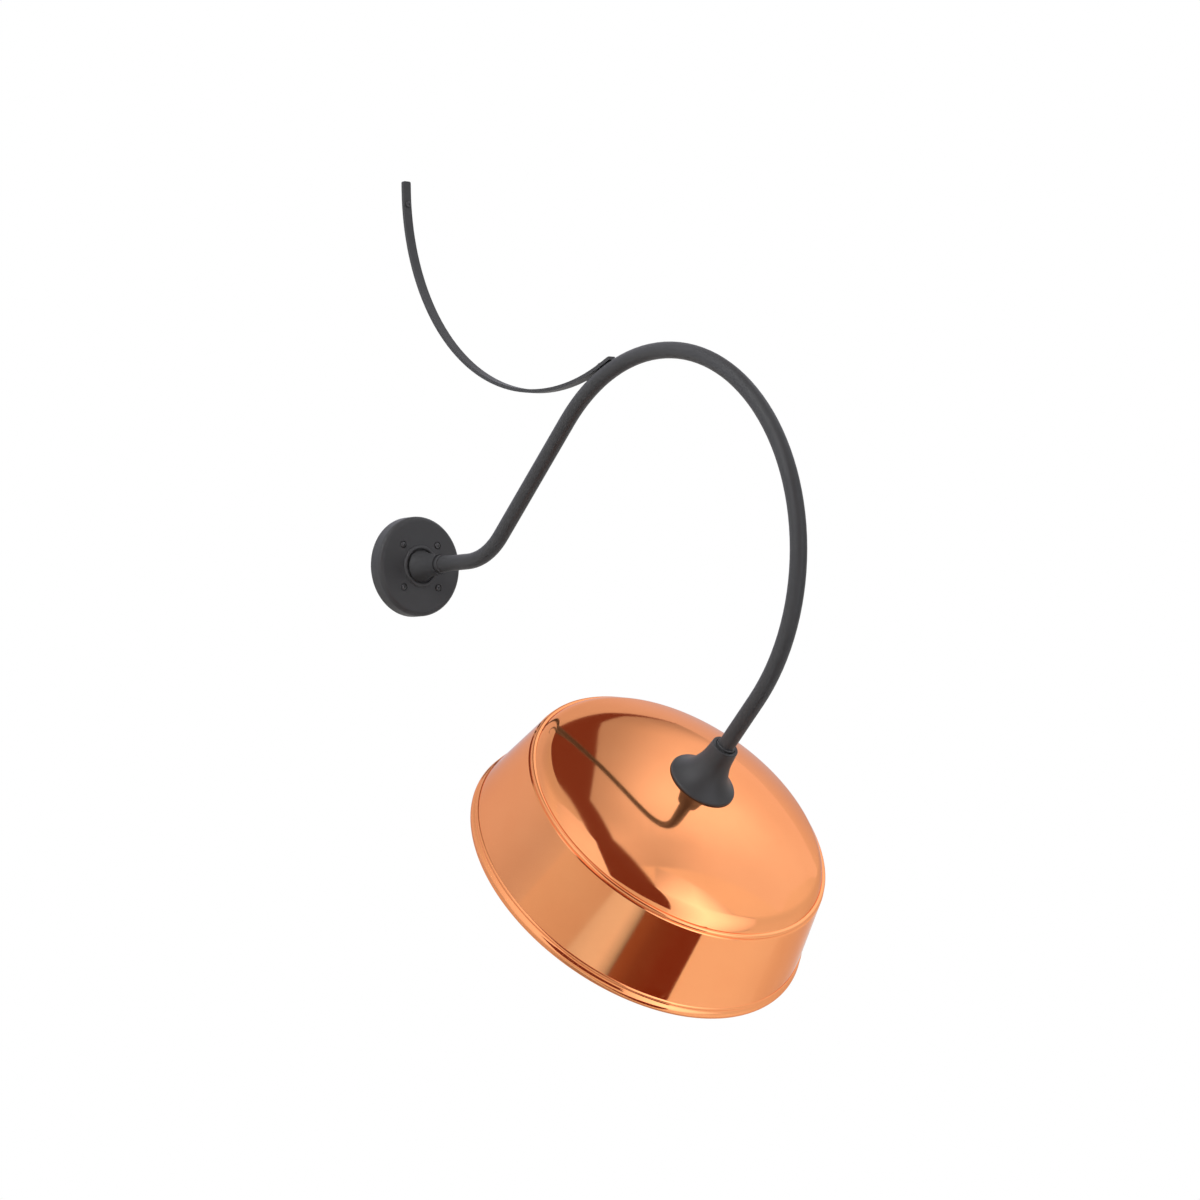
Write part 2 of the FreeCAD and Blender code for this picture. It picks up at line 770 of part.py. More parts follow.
def is_bar_end(point):
    """Whether a point lies at the strap's top end or at its far end on the arm."""
    far = strap_centre_y.value - strap_outer.value * lean_y.value - d.strap_tail.value * lean_z.value
    return abs(point.z - strap_top.value) < 0.001 or point.y < far + d.strap_thickness.value


strap_hole = named("strap_hole", d.wall_screw_radius + d.strap_hole_clearance)


def make_strap_fastenings():
    drop = strap_centre_z - strap_hole_height
    room_face = strap_outer - root(strap_inner * strap_inner - drop * drop)
    seat = room_face + d.pan_head_radius * drop / strap_outer
    screw = pan_screw("strap_wall_screw", seat, -d.wall_screw_grip, d.wall_screw_radius, d.pan_head_radius,
                      d.pan_head_height, d.wall_screw_point, d.wall_screw_neck, -d.wall_screw_plain)
    Axis(0, strap_hole_height, 90).place(screw)
    keep("strap_wall_screw", screw)

    turn_apart = d.strap_bolt_setback / crown_radius + d.strap_bolt_setback / strap_outer
    strap_face = d.strap_gap + d.strap_bolt_setback * turn_apart / 2 + d.strap_thickness
    seat = strap_face + d.pan_head_radius * turn_apart
    bolt = pan_screw("strap_bolt", seat, seat - d.strap_bolt_length, d.wall_screw_radius, d.pan_head_radius,
                     d.pan_head_height, d.strap_bolt_point)
    BOLT.place(bolt)
    keep("strap_bolt", bolt)

    bore = d.wall_screw_radius + d.grub_fit
    bulge_foot = -d.insert_bulge_top - d.insert_bulge_length
    corners = [
        (bore, -d.insert_length),
        (d.insert_radius, -d.insert_length),
        (d.insert_radius, bulge_foot),
        (d.insert_bulge, bulge_foot),
        (d.insert_bulge, -d.insert_bulge_top),
        (d.insert_radius, -d.insert_bulge_top),
        (d.insert_radius, d.strap_gap / 2),
        (bore, d.strap_gap / 2),
    ]
    insert = turned("strap_insert", corners)
    BOLT.place(insert)
    keep("strap_insert", insert)


# --- neck ---------------------------------------------------------------------------------------


def make_neck_casting():
    """A bell with a concave flare in two arcs, hollow, with a bored collar for the arm."""
    collar_foot = d.neck_top + d.neck_collar_length
    shoulder = d.arm_tail + d.neck_shoulder
    corners = [
        (d.seal_bore + d.nose_groove, d.neck_top),
        (d.neck_top_radius - d.neck_top_round, d.neck_top, d.neck_top_round),
        (d.neck_top_radius, d.neck_top + d.neck_top_round),
        (d.neck_top_radius + d.neck_collar_taper, collar_foot, -d.neck_waist_round),
        (d.neck_waist_radius, d.neck_waist_place, -d.neck_skirt_round),
        (d.neck_skirt_radius, d.neck_skirt - d.neck_skirt_lead),
        (d.neck_base_radius - d.neck_edge_slope, d.neck_skirt, d.neck_edge_round),
        (d.neck_base_radius, d.neck_skirt + d.neck_edge * 0.8),
        (d.neck_base_radius, d.neck_base),
        (d.neck_mouth_radius, d.neck_base),
        (d.neck_mouth_radius, d.neck_skirt - d.neck_mouth_step),
        (d.neck_waist_radius - d.neck_wall, d.neck_waist_place),
        (d.neck_top_radius - d.neck_wall + d.neck_mouth_step, shoulder),
        (d.cable_bore, shoulder),
        (d.cable_bore, d.arm_tail),
        (d.arm_bore, d.arm_tail),
        (d.arm_bore, d.neck_top + d.seal_depth),
        (d.seal_bore, d.neck_top + d.seal_depth),
        (d.seal_bore, d.neck_top + d.nose_groove),
        (d.seal_bore + d.nose_groove, d.neck_top + d.nose_groove),
    ]
    body = turned("neck_bell", corners)
    hole = drilled(body, 0, d.neck_screw_circle, d.plate_screw_radius + d.plate_screw_fit, d.neck_base,
                   d.neck_screw_depth)
    repeated(body, [hole], 3)
    LAMP.place(body)
    rod = drill_rod("neck_grub_hole", NECK_GRUB, d.grub_radius + d.grub_fit, d.cut_reach,
                   d.neck_top_radius + d.cut_reach)
    keep("neck_casting", cut_away("neck_casting", body, rod))


def make_neck_fittings():
    seal_ring("neck_seal_ring", LAMP, d.neck_top + d.seal_depth, d.neck_top - d.seal_stand / 2)
    grub = grub_screw("neck_set_screw", d.arm_bore, d.neck_top_radius - d.grub_setback)
    NECK_GRUB.place(grub)
    keep("neck_set_screw", grub)
    gasket = ring("shade_gasket", d.neck_mouth_radius, d.neck_base_radius, d.neck_base, shade_top)
    hole = drilled(gasket, 0, d.neck_screw_circle, d.plate_screw_radius + d.through_clearance)
    repeated(gasket, [hole], 3)
    LAMP.place(gasket)
    keep("shade_gasket", gasket)


# --- shade --------------------------------------------------------------------------------------

shade_top = named("shade_top", d.neck_base + d.shade_gasket_thickness)
plate_top = named("plate_top", shade_top + d.sheet)
plate_foot = named("plate_foot", plate_top + d.plate_thickness)

# The crown's arc springs from the seat's edge and has its centre on the axis. The shoulder's arc
# ends at the dome's edge and meets the crown's arc without a corner.
crown_centre = named(
    "crown_centre", shade_top + root(d.crown_round * d.crown_round - d.shade_seat_radius * d.shade_seat_radius)
)
crown_end = named(
    "crown_end", crown_centre - root(d.crown_round * d.crown_round - d.dome_edge_radius * d.dome_edge_radius)
)
dome_edge = named("dome_edge", crown_end + d.shoulder_fall)
reach_down = named("reach_down", crown_centre - dome_edge)
reach = named("reach", root(d.dome_edge_radius * d.dome_edge_radius + reach_down * reach_down))
inner_reach = named("inner_reach", d.crown_round - d.shoulder_round)
along_reach = named(
    "along_reach",
    (inner_reach * inner_reach - d.shoulder_round * d.shoulder_round + reach * reach) / (reach * 2),
)
off_reach = named("off_reach", root(inner_reach * inner_reach - along_reach * along_reach))
shoulder_r = named("shoulder_r", (along_reach * d.dome_edge_radius - off_reach * reach_down) / reach)
shoulder_drop = named("shoulder_drop", (along_reach * reach_down + off_reach * d.dome_edge_radius) / reach)


def meeting_point(round_radius):
    """Where the crown meets the shoulder, on an arc of this radius about the crown's centre."""
    return shoulder_r * round_radius / inner_reach, crown_centre - shoulder_drop * round_radius / inner_reach


def make_shade():
    """One spun sheet: seat, crown, shoulder, ledge, top bead, tapering band, step bead and rolled rim."""
    inner_crown = d.crown_round - d.sheet
    inner_shoulder = d.shoulder_round - d.sheet
    share = inner_shoulder / d.shoulder_round
    shoulder_centre = crown_centre - shoulder_drop
    inner_edge = shoulder_centre + (dome_edge - shoulder_centre) * share
    inner_edge_radius = shoulder_r + (d.dome_edge_radius - shoulder_r) * share
    under_seat = d.shade_seat_radius - d.seat_undercut
    seat_drop = crown_centre - root(inner_crown * inner_crown - under_seat * under_seat)
    bead = d.dome_edge_radius + d.ledge + d.top_bead_round
    bead_foot = dome_edge + d.top_bead_round * 2
    band_top = bead_foot + d.band_start
    band_foot = band_top + d.band_length
    roll_centre = d.rim_radius - d.rim_roll_round
    inner_roll = d.rim_roll_round - d.sheet
    neck_in = 0.55
    neck_up = 0.83516
    bead_end = band_foot + d.step_bead_round * 1.8
    roll_place = bead_end + d.rim_drop + d.rim_roll_round * neck_up
    corners = [
        (d.shade_hole, shade_top),
        (d.shade_seat_radius, shade_top, d.crown_round),
        (*meeting_point(d.crown_round), d.shoulder_round),
        (d.dome_edge_radius, dome_edge),
        (d.dome_edge_radius + d.ledge, dome_edge, d.top_bead_round),
        (bead, dome_edge + d.top_bead_round, d.top_bead_round),
        (d.band_top_radius, band_top),
        (d.band_foot_radius, band_foot, d.step_bead_round),
        (d.band_foot_radius + d.sheet, bead_end),
        (roll_centre + d.rim_roll_round * neck_in, roll_place - d.rim_roll_round * neck_up, d.rim_roll_round),
        (d.rim_radius, roll_place, d.rim_roll_round),
        (roll_centre, roll_place + d.rim_roll_round, d.rim_roll_round),
        (roll_centre - d.rim_roll_round, roll_place, d.rim_roll_round),
        (roll_centre - d.rim_roll_round * neck_in, roll_place - d.rim_roll_round * neck_up),
        (roll_centre - inner_roll * neck_in, roll_place - inner_roll * neck_up, -inner_roll),
        (roll_centre - inner_roll, roll_place, -inner_roll),
        (roll_centre, roll_place + inner_roll, -inner_roll),
        (roll_centre + inner_roll, roll_place, -inner_roll),
        (roll_centre + inner_roll * neck_in, roll_place - inner_roll * neck_up),
        (d.band_foot_radius - d.sheet, band_foot),
        (d.band_top_radius - d.sheet, band_top),
        (inner_edge_radius + d.ledge, inner_edge + d.sheet),
        (inner_edge_radius, inner_edge, -inner_shoulder),
        (*meeting_point(inner_crown), -inner_crown),
        (under_seat, seat_drop),
        (d.shade_hole, plate_top),
    ]
    body = turned("spun_shade", corners)
    hole = drilled(body, 0, d.neck_screw_circle, d.plate_screw_radius + d.through_clearance)
    repeated(body, [hole], 3)
    LAMP.place(body)
    keep("shade", body)


# --- carrier plate and lampholder ---------------------------------------------------------------

holder_floor_top = named("holder_floor_top", plate_foot + d.holder_recess)
holder_floor_face = named("holder_floor_face", holder_floor_top + d.holder_floor)
shell_face = named("shell_face", holder_floor_face + d.shell_sheet)


def make_lamp_plate():
    body = ring("lamp_plate", d.plate_hole, d.plate_radius, plate_top, plate_foot)
    hole = drilled(body, 0, d.neck_screw_circle, d.plate_screw_radius + d.through_clearance)
    repeated(body, [hole], 3)
    hole = drilled(body, d.holder_screw_circle, 0, d.holder_screw_radius + d.holder_screw_fit)
    repeated(body, [hole], 2)
    drilled(body, 0, -d.earth_screw_place, d.holder_screw_radius + d.holder_screw_fit)
    LAMP.place(body)
    keep("lamp_plate", body)


def make_plate_screws():
    """Three screws up through the plate, the shade and its gasket into the neck."""
    tip = d.neck_base - d.neck_screw_depth + d.plate_screw_gap
    screws = []
    for number, degrees in enumerate((90, 210, 330), 1):
        screw = pan_screw(f"plate_screw_{number}", plate_foot, tip, d.plate_screw_radius,
                          d.pan_head_radius * 0.9, d.pan_head_height, d.plate_screw_point)
        angle = as_size(degrees)
        LAMP.place(screw, side=d.neck_screw_circle * cosine(angle), up=d.neck_screw_circle * sine(angle))
        screws.append(screw)
    keep("plate_screws", grouped("plate_screws", screws))


def make_lampholder():
    mouth = plate_foot + d.holder_length
    flange_face = plate_foot + d.holder_flange
    corners = [
        (d.holder_recess_radius, plate_foot),
        (d.holder_flange_radius, plate_foot),
        (d.holder_flange_radius, flange_face - d.holder_lip_round, d.holder_lip_round),
        (d.holder_flange_radius - d.holder_lip_round, flange_face),
        (d.holder_radius, flange_face),
        (d.holder_radius, mouth - d.holder_lip_round, d.holder_lip_round),
        (d.holder_radius - d.holder_lip_round, mouth),
        (d.holder_cavity_radius + d.holder_lip_round, mouth),
        (d.holder_cavity_radius, mouth - d.holder_lip_round),
        (d.holder_cavity_radius, holder_floor_face),
        (d.guide_radius + d.piston_fit, holder_floor_face),
        (d.guide_radius + d.piston_fit, holder_floor_top),
        (d.holder_recess_radius, holder_floor_top),
    ]
    body = turned("lampholder_body", corners)
    hole = drilled(body, d.holder_screw_circle, 0, d.holder_screw_radius + d.through_clearance)
    repeated(body, [hole], 2)
    hole = drilled(body, d.rivet_circle_x, -d.rivet_circle_y, d.rivet_radius + d.piston_fit)
    repeated(body, [hole], 2)
    LAMP.place(body)
    keep("lampholder_body", body)

    screws = []
    for side in (1, -1):
        screw = pan_screw(f"lampholder_screw_{len(screws) + 1}", flange_face, plate_top - d.small_screw_tail,
                          d.holder_screw_radius, d.small_head_radius, d.small_head_height, d.small_screw_point)
        LAMP.place(screw, side=d.holder_screw_circle * side)
        screws.append(screw)
    keep("lampholder_screws", grouped("lampholder_screws", screws))


def make_screw_shell():
    """The thin threaded cup, plain here, with a narrower riveted foot and a flared lip."""
    outer = d.shell_radius + d.shell_sheet
    foot = d.shell_foot_radius + d.shell_sheet
    foot_end = holder_floor_face + d.shell_foot_length
    wall_start = foot_end + d.shell_foot_cone
    rim = holder_floor_face + d.shell_length
    corners = [
        (d.shell_floor_hole, holder_floor_face),
        (foot, holder_floor_face),
        (foot, foot_end),
        (outer, wall_start),
        (outer, rim - d.shell_sheet),
        (outer + d.shell_lip, rim),
        (d.shell_radius + d.shell_lip, rim),
        (d.shell_radius, rim - d.shell_sheet),
        (d.shell_radius, wall_start),
        (d.shell_foot_radius, foot_end),
        (d.shell_foot_radius, shell_face),
        (d.shell_floor_hole, shell_face),
    ]
    body = turned("screw_shell", corners)
    hole = drilled(body, d.rivet_circle_x, -d.rivet_circle_y, d.rivet_radius + d.piston_fit)
    repeated(body, [hole], 2)
    LAMP.place(body)
    keep("screw_shell", body)

    rivets = []
    for side in (1, -1):
        corners = [
            (0, holder_floor_top - d.rivet_head),
            (d.rivet_head_radius, holder_floor_top - d.rivet_head),
            (d.rivet_head_radius, holder_floor_top),
            (d.rivet_radius, holder_floor_top),
            (d.rivet_radius, shell_face),
            (d.rivet_head_radius, shell_face),
            (d.rivet_head_radius, shell_face + d.rivet_head * 0.5),
            (d.rivet_head_radius * 0.6, shell_face + d.rivet_head),
            (0, shell_face + d.rivet_head),
        ]
        rivet = turned(f"shell_rivet_{len(rivets) + 1}", corners)
        LAMP.place(rivet, side=d.rivet_circle_x * side, up=-d.rivet_circle_y * side)
        rivets.append(rivet)
    keep("shell_rivets", grouped("shell_rivets", rivets))


guide_floor = named("guide_floor", holder_floor_top - d.guide_tail + d.guide_lip)
guide_face = named("guide_face", holder_floor_face + d.guide_lip)
guide_bore = named("guide_bore", d.guide_radius - d.guide_wall)
piston_top = named("piston_top", holder_floor_face - d.piston_gap)
piston_foot = named("piston_foot", piston_top - d.piston_length)


def make_contact():
    """The sprung centre contact: a closed guide, a coil spring, and a piston with a domed head."""
    mouth = d.stem_radius + d.piston_fit
    corners = [
        (0, guide_floor - d.guide_lip),
        (d.guide_radius, guide_floor - d.guide_lip),
        (d.guide_radius, holder_floor_face),
        (d.guide_lip_radius, holder_floor_face),
        (d.guide_lip_radius, guide_face),
        (mouth, guide_face),
        (mouth, holder_floor_face),
        (guide_bore, holder_floor_face),
        (guide_bore, guide_floor),
        (0, guide_floor),
    ]
    guide = turned("contact_guide", corners)
    LAMP.place(guide)
    keep("contact_guide", guide)

    head_foot = guide_face + d.contact_lift
    head_top = head_foot + d.contact_head
    corners = [
        (0, piston_foot),
        (guide_bore - d.piston_fit, piston_foot),
        (guide_bore - d.piston_fit, piston_top),
        (d.stem_radius, piston_top),
        (d.stem_radius, head_foot),
        (d.contact_head_radius, head_foot),
        (d.contact_head_radius, head_foot + d.contact_head * 0.4, d.contact_head_radius * 1.6),
        (d.contact_head_radius * 0.35, head_top),
        (0, head_top),
    ]
    button = turned("contact_button", corners)
    LAMP.place(button)
    keep("contact_button", button)

    room = piston_foot - guide_floor
    height = room - (d.spring_wire + d.spring_end_gap) * 2
    body = new_body("contact_spring")
    drawing = new_sketch(body, "XZ_Plane")
    draw_circle(drawing, d.spring_radius, guide_floor + d.spring_wire + d.spring_end_gap, d.spring_wire)
    coil = body.newObject("PartDesign::AdditiveHelix", "spring_coil")
    coil.Profile = drawing
    coil.ReferenceAxis = (drawing, ["V_Axis"])
    coil.Mode = "pitch-height-angle"
    coil.Pitch = d.spring_pitch.value
    coil.Height = height.value
    coil.setExpression("Pitch", d.spring_pitch.formula)
    coil.setExpression("Height", height.formula)
    body.Tip = coil
    LAMP.place(body)
    keep("contact_spring", body)


# --- leads and earth screw ----------------------------------------------------------------------


class Route:
    """A line of straight runs and tangent arcs, laid out from a start point and a heading."""

    def __init__(self, start, heading):
        self.end = start
        self.heading = heading
        self.edges = []

    def forward(self, length):
        start = self.end
        self.end = start + self.heading * length
        self.edges.append(Part.LineSegment(start, self.end).toShape())

    def bend(self, toward, radius, degrees):
        """Turn towards a unit vector that is square to the heading."""
        start, heading = self.end, self.heading
        centre = start + toward * radius

        def point(angle):
            return centre - toward * (radius * math.cos(angle)) + heading * (radius * math.sin(angle))

        angle = math.radians(degrees)
        self.end = point(angle)
        self.heading = heading * math.cos(angle) + toward * math.sin(angle)
        self.edges.append(Part.Arc(start, point(angle / 2), self.end).toShape())

    def swing(self, toward, offset, degrees):
        """Two opposite bends that move the route sideways by an offset and leave its heading as it was."""
        angle = math.radians(degrees)
        radius = offset / (2 * (1 - math.cos(angle)))
        back = self.heading * math.sin(angle) - toward * math.cos(angle)
        self.bend(toward, radius, degrees)
        self.bend(back, radius, degrees)
        return 2 * radius * math.sin(angle)

    def tube(self, radius):
        first = self.edges[0]
        tangent = first.tangentAt(first.FirstParameter)
        section = Part.Wire(Part.Circle(first.Vertexes[0].Point, tangent, radius).toShape())
        return Part.Wire(self.edges).makePipeShell([section], True, False)


def below(heading):
    """The side of the arm on which its big bend is centred, square to the heading."""
    return FreeCAD.Vector(1, 0, 0).cross(heading)


def lead(name, across, drop, toward, offset, end):
    """One insulated lead: along the arm at its place in the bore, then a swing to its terminal."""
    start = FreeCAD.Vector(across, -d.lead_start.value, -drop)
    route = Route(start, FreeCAD.Vector(0, -1, 0))
    route.forward(d.arm_run.value - d.lead_start.value)
    route.bend(-below(route.heading), d.first_bend.value + drop, d.first_turn.value)
    route.forward(d.arm_rise.value)
    route.bend(below(route.heading), d.big_bend.value - drop, d.big_turn.value / 2)
    route.bend(below(route.heading), d.big_bend.value - drop, d.big_turn.value / 2)
    travelled = 0
    if offset:
        route.forward(d.lead_swing_start.value)
        side = FreeCAD.Vector(1, 0, 0) if toward == "across" else below(route.heading)
        travelled = d.lead_swing_start.value + route.swing(side, offset, d.lead_swing_turn.value)
    route.forward(end - travelled)
    solid = doc.addObject("Part::Feature", name)
    solid.Shape = route.tube(d.lead_radius.value)
    keep(name, solid)


def make_leads():
    touch = d.lead_touch.value
    spread, drop = d.lead_spread.value, d.lead_drop.value
    guide_back = guide_floor.value - d.guide_lip.value
    lead("lead_live", -spread, drop, "across", 0, guide_back - touch)
    rivet_back = holder_floor_top.value - d.rivet_head.value
    lead("lead_neutral", spread, drop, "across", d.rivet_circle_x.value - spread, rivet_back - touch)
    earth_head = plate_top.value - d.small_head_height.value
    earth_swing = d.earth_screw_place.value - d.earth_drop.value
    lead("lead_earth", 0, d.earth_drop.value, "below", earth_swing, earth_head - touch)
    flipped = Axis(*[named(f"earth_{part}", size) for part, size in zip("yz", LAMP.at(0, -d.earth_screw_place))],
                   LAMP.turn + 180)
    screw = pan_screw("earth_screw", -plate_top, -plate_foot + d.earth_screw_short, d.holder_screw_radius,
                      d.small_head_radius, d.small_head_height, d.earth_screw_point)
    flipped.place(screw)
    keep("earth_screw", screw)


make_wall_flange()
make_flange_gasket()
make_flange_screws()
make_hub_fittings()
make_gooseneck_arm()
make_support_strap()
make_strap_fastenings()
make_neck_casting()
make_neck_fittings()
make_shade()
make_lamp_plate()
make_plate_screws()
make_lampholder()
make_screw_shell()
make_contact()
make_leads()
doc.recompute()

for item in doc.Objects:
    if "Invalid" in item.State or "Error" in item.State:
        raise RuntimeError(f"{item.Label} failed: {item.State}")
for name, item in nodes.items():
    if item.Shape.isNull() or not item.Shape.isValid() or not item.Shape.Solids:
        raise RuntimeError(f"{name} has no valid solid")

os.makedirs("parts", exist_ok=True)
for name, item in nodes.items():
    item.Shape.exportStep(f"parts/{name}.step")
    box = item.Shape.BoundBox
    print(f"{name}: {len(item.Shape.Solids)} solid(s), {item.Shape.Volume / 1000:.2f} cm3, "
          f"x {box.XMin:.1f}..{box.XMax:.1f}, y {box.YMin:.1f}..{box.YMax:.1f}, z {box.ZMin:.1f}..{box.ZMax:.1f}")
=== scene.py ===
import json
import math

import bmesh
import bpy
from mathutils import Matrix, Vector


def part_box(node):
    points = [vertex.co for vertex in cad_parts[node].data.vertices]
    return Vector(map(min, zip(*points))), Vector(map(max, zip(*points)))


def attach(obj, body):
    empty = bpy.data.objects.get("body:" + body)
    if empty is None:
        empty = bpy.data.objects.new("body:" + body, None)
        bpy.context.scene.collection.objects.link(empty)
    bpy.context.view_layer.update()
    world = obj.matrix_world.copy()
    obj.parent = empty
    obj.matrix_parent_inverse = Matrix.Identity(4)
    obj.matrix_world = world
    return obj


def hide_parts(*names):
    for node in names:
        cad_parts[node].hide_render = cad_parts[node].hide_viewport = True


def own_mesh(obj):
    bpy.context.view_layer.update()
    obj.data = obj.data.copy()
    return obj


bl_info = {
    "name": "Gooseneck Wall Sconce",
    "version": (1, 0, 0),
    "blender": (4, 5, 0),
    "location": "View3D > Sidebar > Sconce",
    "description": "Dresses the packed wall sconce: coated arm, spun copper shade, lampholder and studio",
    "category": "Object",
}

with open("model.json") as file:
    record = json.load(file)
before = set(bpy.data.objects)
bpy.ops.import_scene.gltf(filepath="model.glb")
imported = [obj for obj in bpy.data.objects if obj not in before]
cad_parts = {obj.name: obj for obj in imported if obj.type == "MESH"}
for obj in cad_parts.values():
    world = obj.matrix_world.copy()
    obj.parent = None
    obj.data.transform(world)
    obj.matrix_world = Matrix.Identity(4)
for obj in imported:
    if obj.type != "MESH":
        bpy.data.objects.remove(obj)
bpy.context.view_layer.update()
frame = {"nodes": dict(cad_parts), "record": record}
NODES = frame["nodes"]
MM = 0.001

# The lamp axis: where the arm's last bend ends, and the direction down into the shade.
SOCKET = next(m for m in frame["record"]["mounts"] if m["name"] == "lamp_socket")
LAMP_DOWN = Vector(SOCKET["axis"]).normalized()
SOCKET_STATION = 175.65
LAMP_START = Vector(SOCKET["pos_m"]) - LAMP_DOWN * (SOCKET_STATION * MM)


def lamp_matrix():
    """Local X across, local Z down the lamp axis, from the end of the arm's last bend."""
    across = Vector((1.0, 0.0, 0.0))
    up = LAMP_DOWN.cross(across)
    basis = Matrix((across, up, LAMP_DOWN)).transposed().to_4x4()
    return Matrix.Translation(LAMP_START) @ basis


LAMP = lamp_matrix()


# --- node helpers ---


def link(tree, source, target):
    tree.links.new(source, target)


def add(tree, kind, inputs=None, **values):
    """A node with its properties set from keywords; each of its inputs takes a value or a socket."""
    node = tree.nodes.new(kind)
    for name, value in values.items():
        setattr(node, name, value)
    for name, value in (inputs or {}).items():
        if isinstance(value, bpy.types.NodeSocket):
            link(tree, value, node.inputs[name])
        else:
            node.inputs[name].default_value = value
    return node


def maths(tree, operation, *values):
    """The result of a math node; each value is a number or a socket."""
    return add(tree, "ShaderNodeMath", dict(enumerate(values)), operation=operation).outputs[0]


def mix_shaders(tree, share, first, second):
    """The first shader where the share is 0 and the second where it is 1."""
    return add(tree, "ShaderNodeMixShader", {"Fac": share, 1: first, 2: second}).outputs["Shader"]


def new_material(name):
    material = bpy.data.materials.new(name)
    material.use_nodes = True
    return material, material.node_tree, material.node_tree.nodes["Principled BSDF"]


def bare_material(name):
    """A material without a shader: the material, its tree and the socket of its surface."""
    material, tree, _ = new_material(name)
    tree.nodes.clear()
    return material, tree, tree.nodes.new("ShaderNodeOutputMaterial").inputs["Surface"]


def node_group(kind, name, inputs, outputs):
    """An empty node group and its sockets, from a dict of labels and types for each side."""
    tree = bpy.data.node_groups.new(name, kind)
    for side, sockets in (("INPUT", inputs), ("OUTPUT", outputs)):
        for label, value in sockets.items():
            tree.interface.new_socket(label, in_out=side, socket_type=f"NodeSocket{value}")
    return tree, tree.nodes.new("NodeGroupInput").outputs, tree.nodes.new("NodeGroupOutput").inputs


def build_grain():
    """Fine orange-peel grain of a coating or a casting: a height and a small roughness change."""
    tree, given, out = node_group(
        "ShaderNodeTree", "surface_grain",
        {"Vector": "Vector", "Scale": "Float", "Roughness": "Float", "Spread": "Float"},
        {"Height": "Float", "Roughness": "Float"})
    fine = add(tree, "ShaderNodeTexNoise", {
        "Vector": given["Vector"], "Scale": given["Scale"], "Detail": 3.0, "Roughness": 0.55})
    slow = add(tree, "ShaderNodeTexNoise", {"Vector": given["Vector"], "Scale": 22.0, "Detail": 4.0})
    centred = maths(tree, "SUBTRACT", slow.outputs["Fac"], 0.5)
    swing = maths(tree, "MULTIPLY_ADD", centred, given["Spread"], given["Roughness"])
    link(tree, fine.outputs["Fac"], out["Height"])
    link(tree, swing, out["Roughness"])
    return tree


def build_mottle():
    """Slow cloudy change between two near colours."""
    tree, given, out = node_group(
        "ShaderNodeTree", "colour_mottle",
        {"Vector": "Vector", "Scale": "Float", "Light": "Color", "Dark": "Color"}, {"Color": "Color"})
    cloud = add(tree, "ShaderNodeTexNoise", {
        "Vector": given["Vector"], "Scale": given["Scale"], "Detail": 5.0, "Roughness": 0.6})
    ramp = add(tree, "ShaderNodeMapRange", {"Value": cloud.outputs["Fac"], "From Min": 0.3, "From Max": 0.7})
    mix = add(tree, "ShaderNodeMix", data_type="RGBA", inputs={
        "Factor": ramp.outputs["Result"], 6: given["Dark"], 7: given["Light"]})
    link(tree, mix.outputs[2], out["Color"])
    return tree


GRAIN = build_grain()
MOTTLE = build_mottle()


def texture(tree, shader, light, dark, mottle, roughness, spread, grain):
    """Clouded colour and uneven roughness on a shader; returns the texture's place and the grain's height."""
    place = tree.nodes.new("ShaderNodeTexCoord").outputs["Object"]
    grained = add(tree, "ShaderNodeGroup", node_tree=GRAIN, inputs={
        "Vector": place, "Scale": grain, "Roughness": roughness, "Spread": spread})
    tinted = add(tree, "ShaderNodeGroup", node_tree=MOTTLE, inputs={
        "Vector": place, "Scale": mottle, "Light": (*light, 1.0), "Dark": (*dark, 1.0)})
    link(tree, grained.outputs["Roughness"], shader.inputs["Roughness"])
    link(tree, tinted.outputs["Color"], shader.inputs["Base Color"])
    return place, grained.outputs["Height"]


def emboss(tree, shader, height, strength, distance):
    """Fine relief on a shader."""
    bump = add(tree, "ShaderNodeBump", {"Strength": strength, "Distance": distance, "Height": height})
    link(tree, bump.outputs["Normal"], shader.inputs["Normal"])


def surface(name, light, dark, roughness, grain=900.0, bump=0.02, metallic=0.0, specular=0.5):
    """A material whose colour, roughness and fine relief all come from procedural texture."""
    material, tree, shader = new_material(name)
    _, height = texture(tree, shader, light, dark, 14.0, roughness, 0.06, grain)
    emboss(tree, shader, height, bump, 0.0005)
    shader.inputs["Metallic"].default_value = metallic
    shader.inputs["Specular IOR Level"].default_value = specular
    return material


def copper(name, light, dark, roughness):
    """Polished copper with faint rings left by spinning, centred on the lamp axis."""
    material, tree, shader = new_material(name)
    place, _ = texture(tree, shader, light, dark, 7.0, roughness, 0.035, 60.0)
    centred = add(tree, "ShaderNodeMapping", vector_type="TEXTURE", inputs={
        "Vector": place, "Location": LAMP_START, "Rotation": LAMP.to_euler()})
    split = add(tree, "ShaderNodeSeparateXYZ", {"Vector": centred.outputs["Vector"]}).outputs
    flat = add(tree, "ShaderNodeCombineXYZ", {"X": split["X"], "Y": split["Y"]})
    radius = add(tree, "ShaderNodeVectorMath", {0: flat.outputs["Vector"]}, operation="LENGTH")
    along = add(tree, "ShaderNodeCombineXYZ", {"X": radius.outputs["Value"], "Y": split["Z"]})
    rings = add(tree, "ShaderNodeTexNoise", {
        "Vector": along.outputs["Vector"], "Scale": 420.0, "Detail": 2.0, "Roughness": 0.4})
    emboss(tree, shader, rings.outputs["Fac"], 0.012, 0.0002)
    shader.inputs["Metallic"].default_value = 0.94
    shader.inputs["Specular Tint"].default_value = (1.0, 0.74, 0.60, 1.0)
    return material


# --- mesh helpers ---


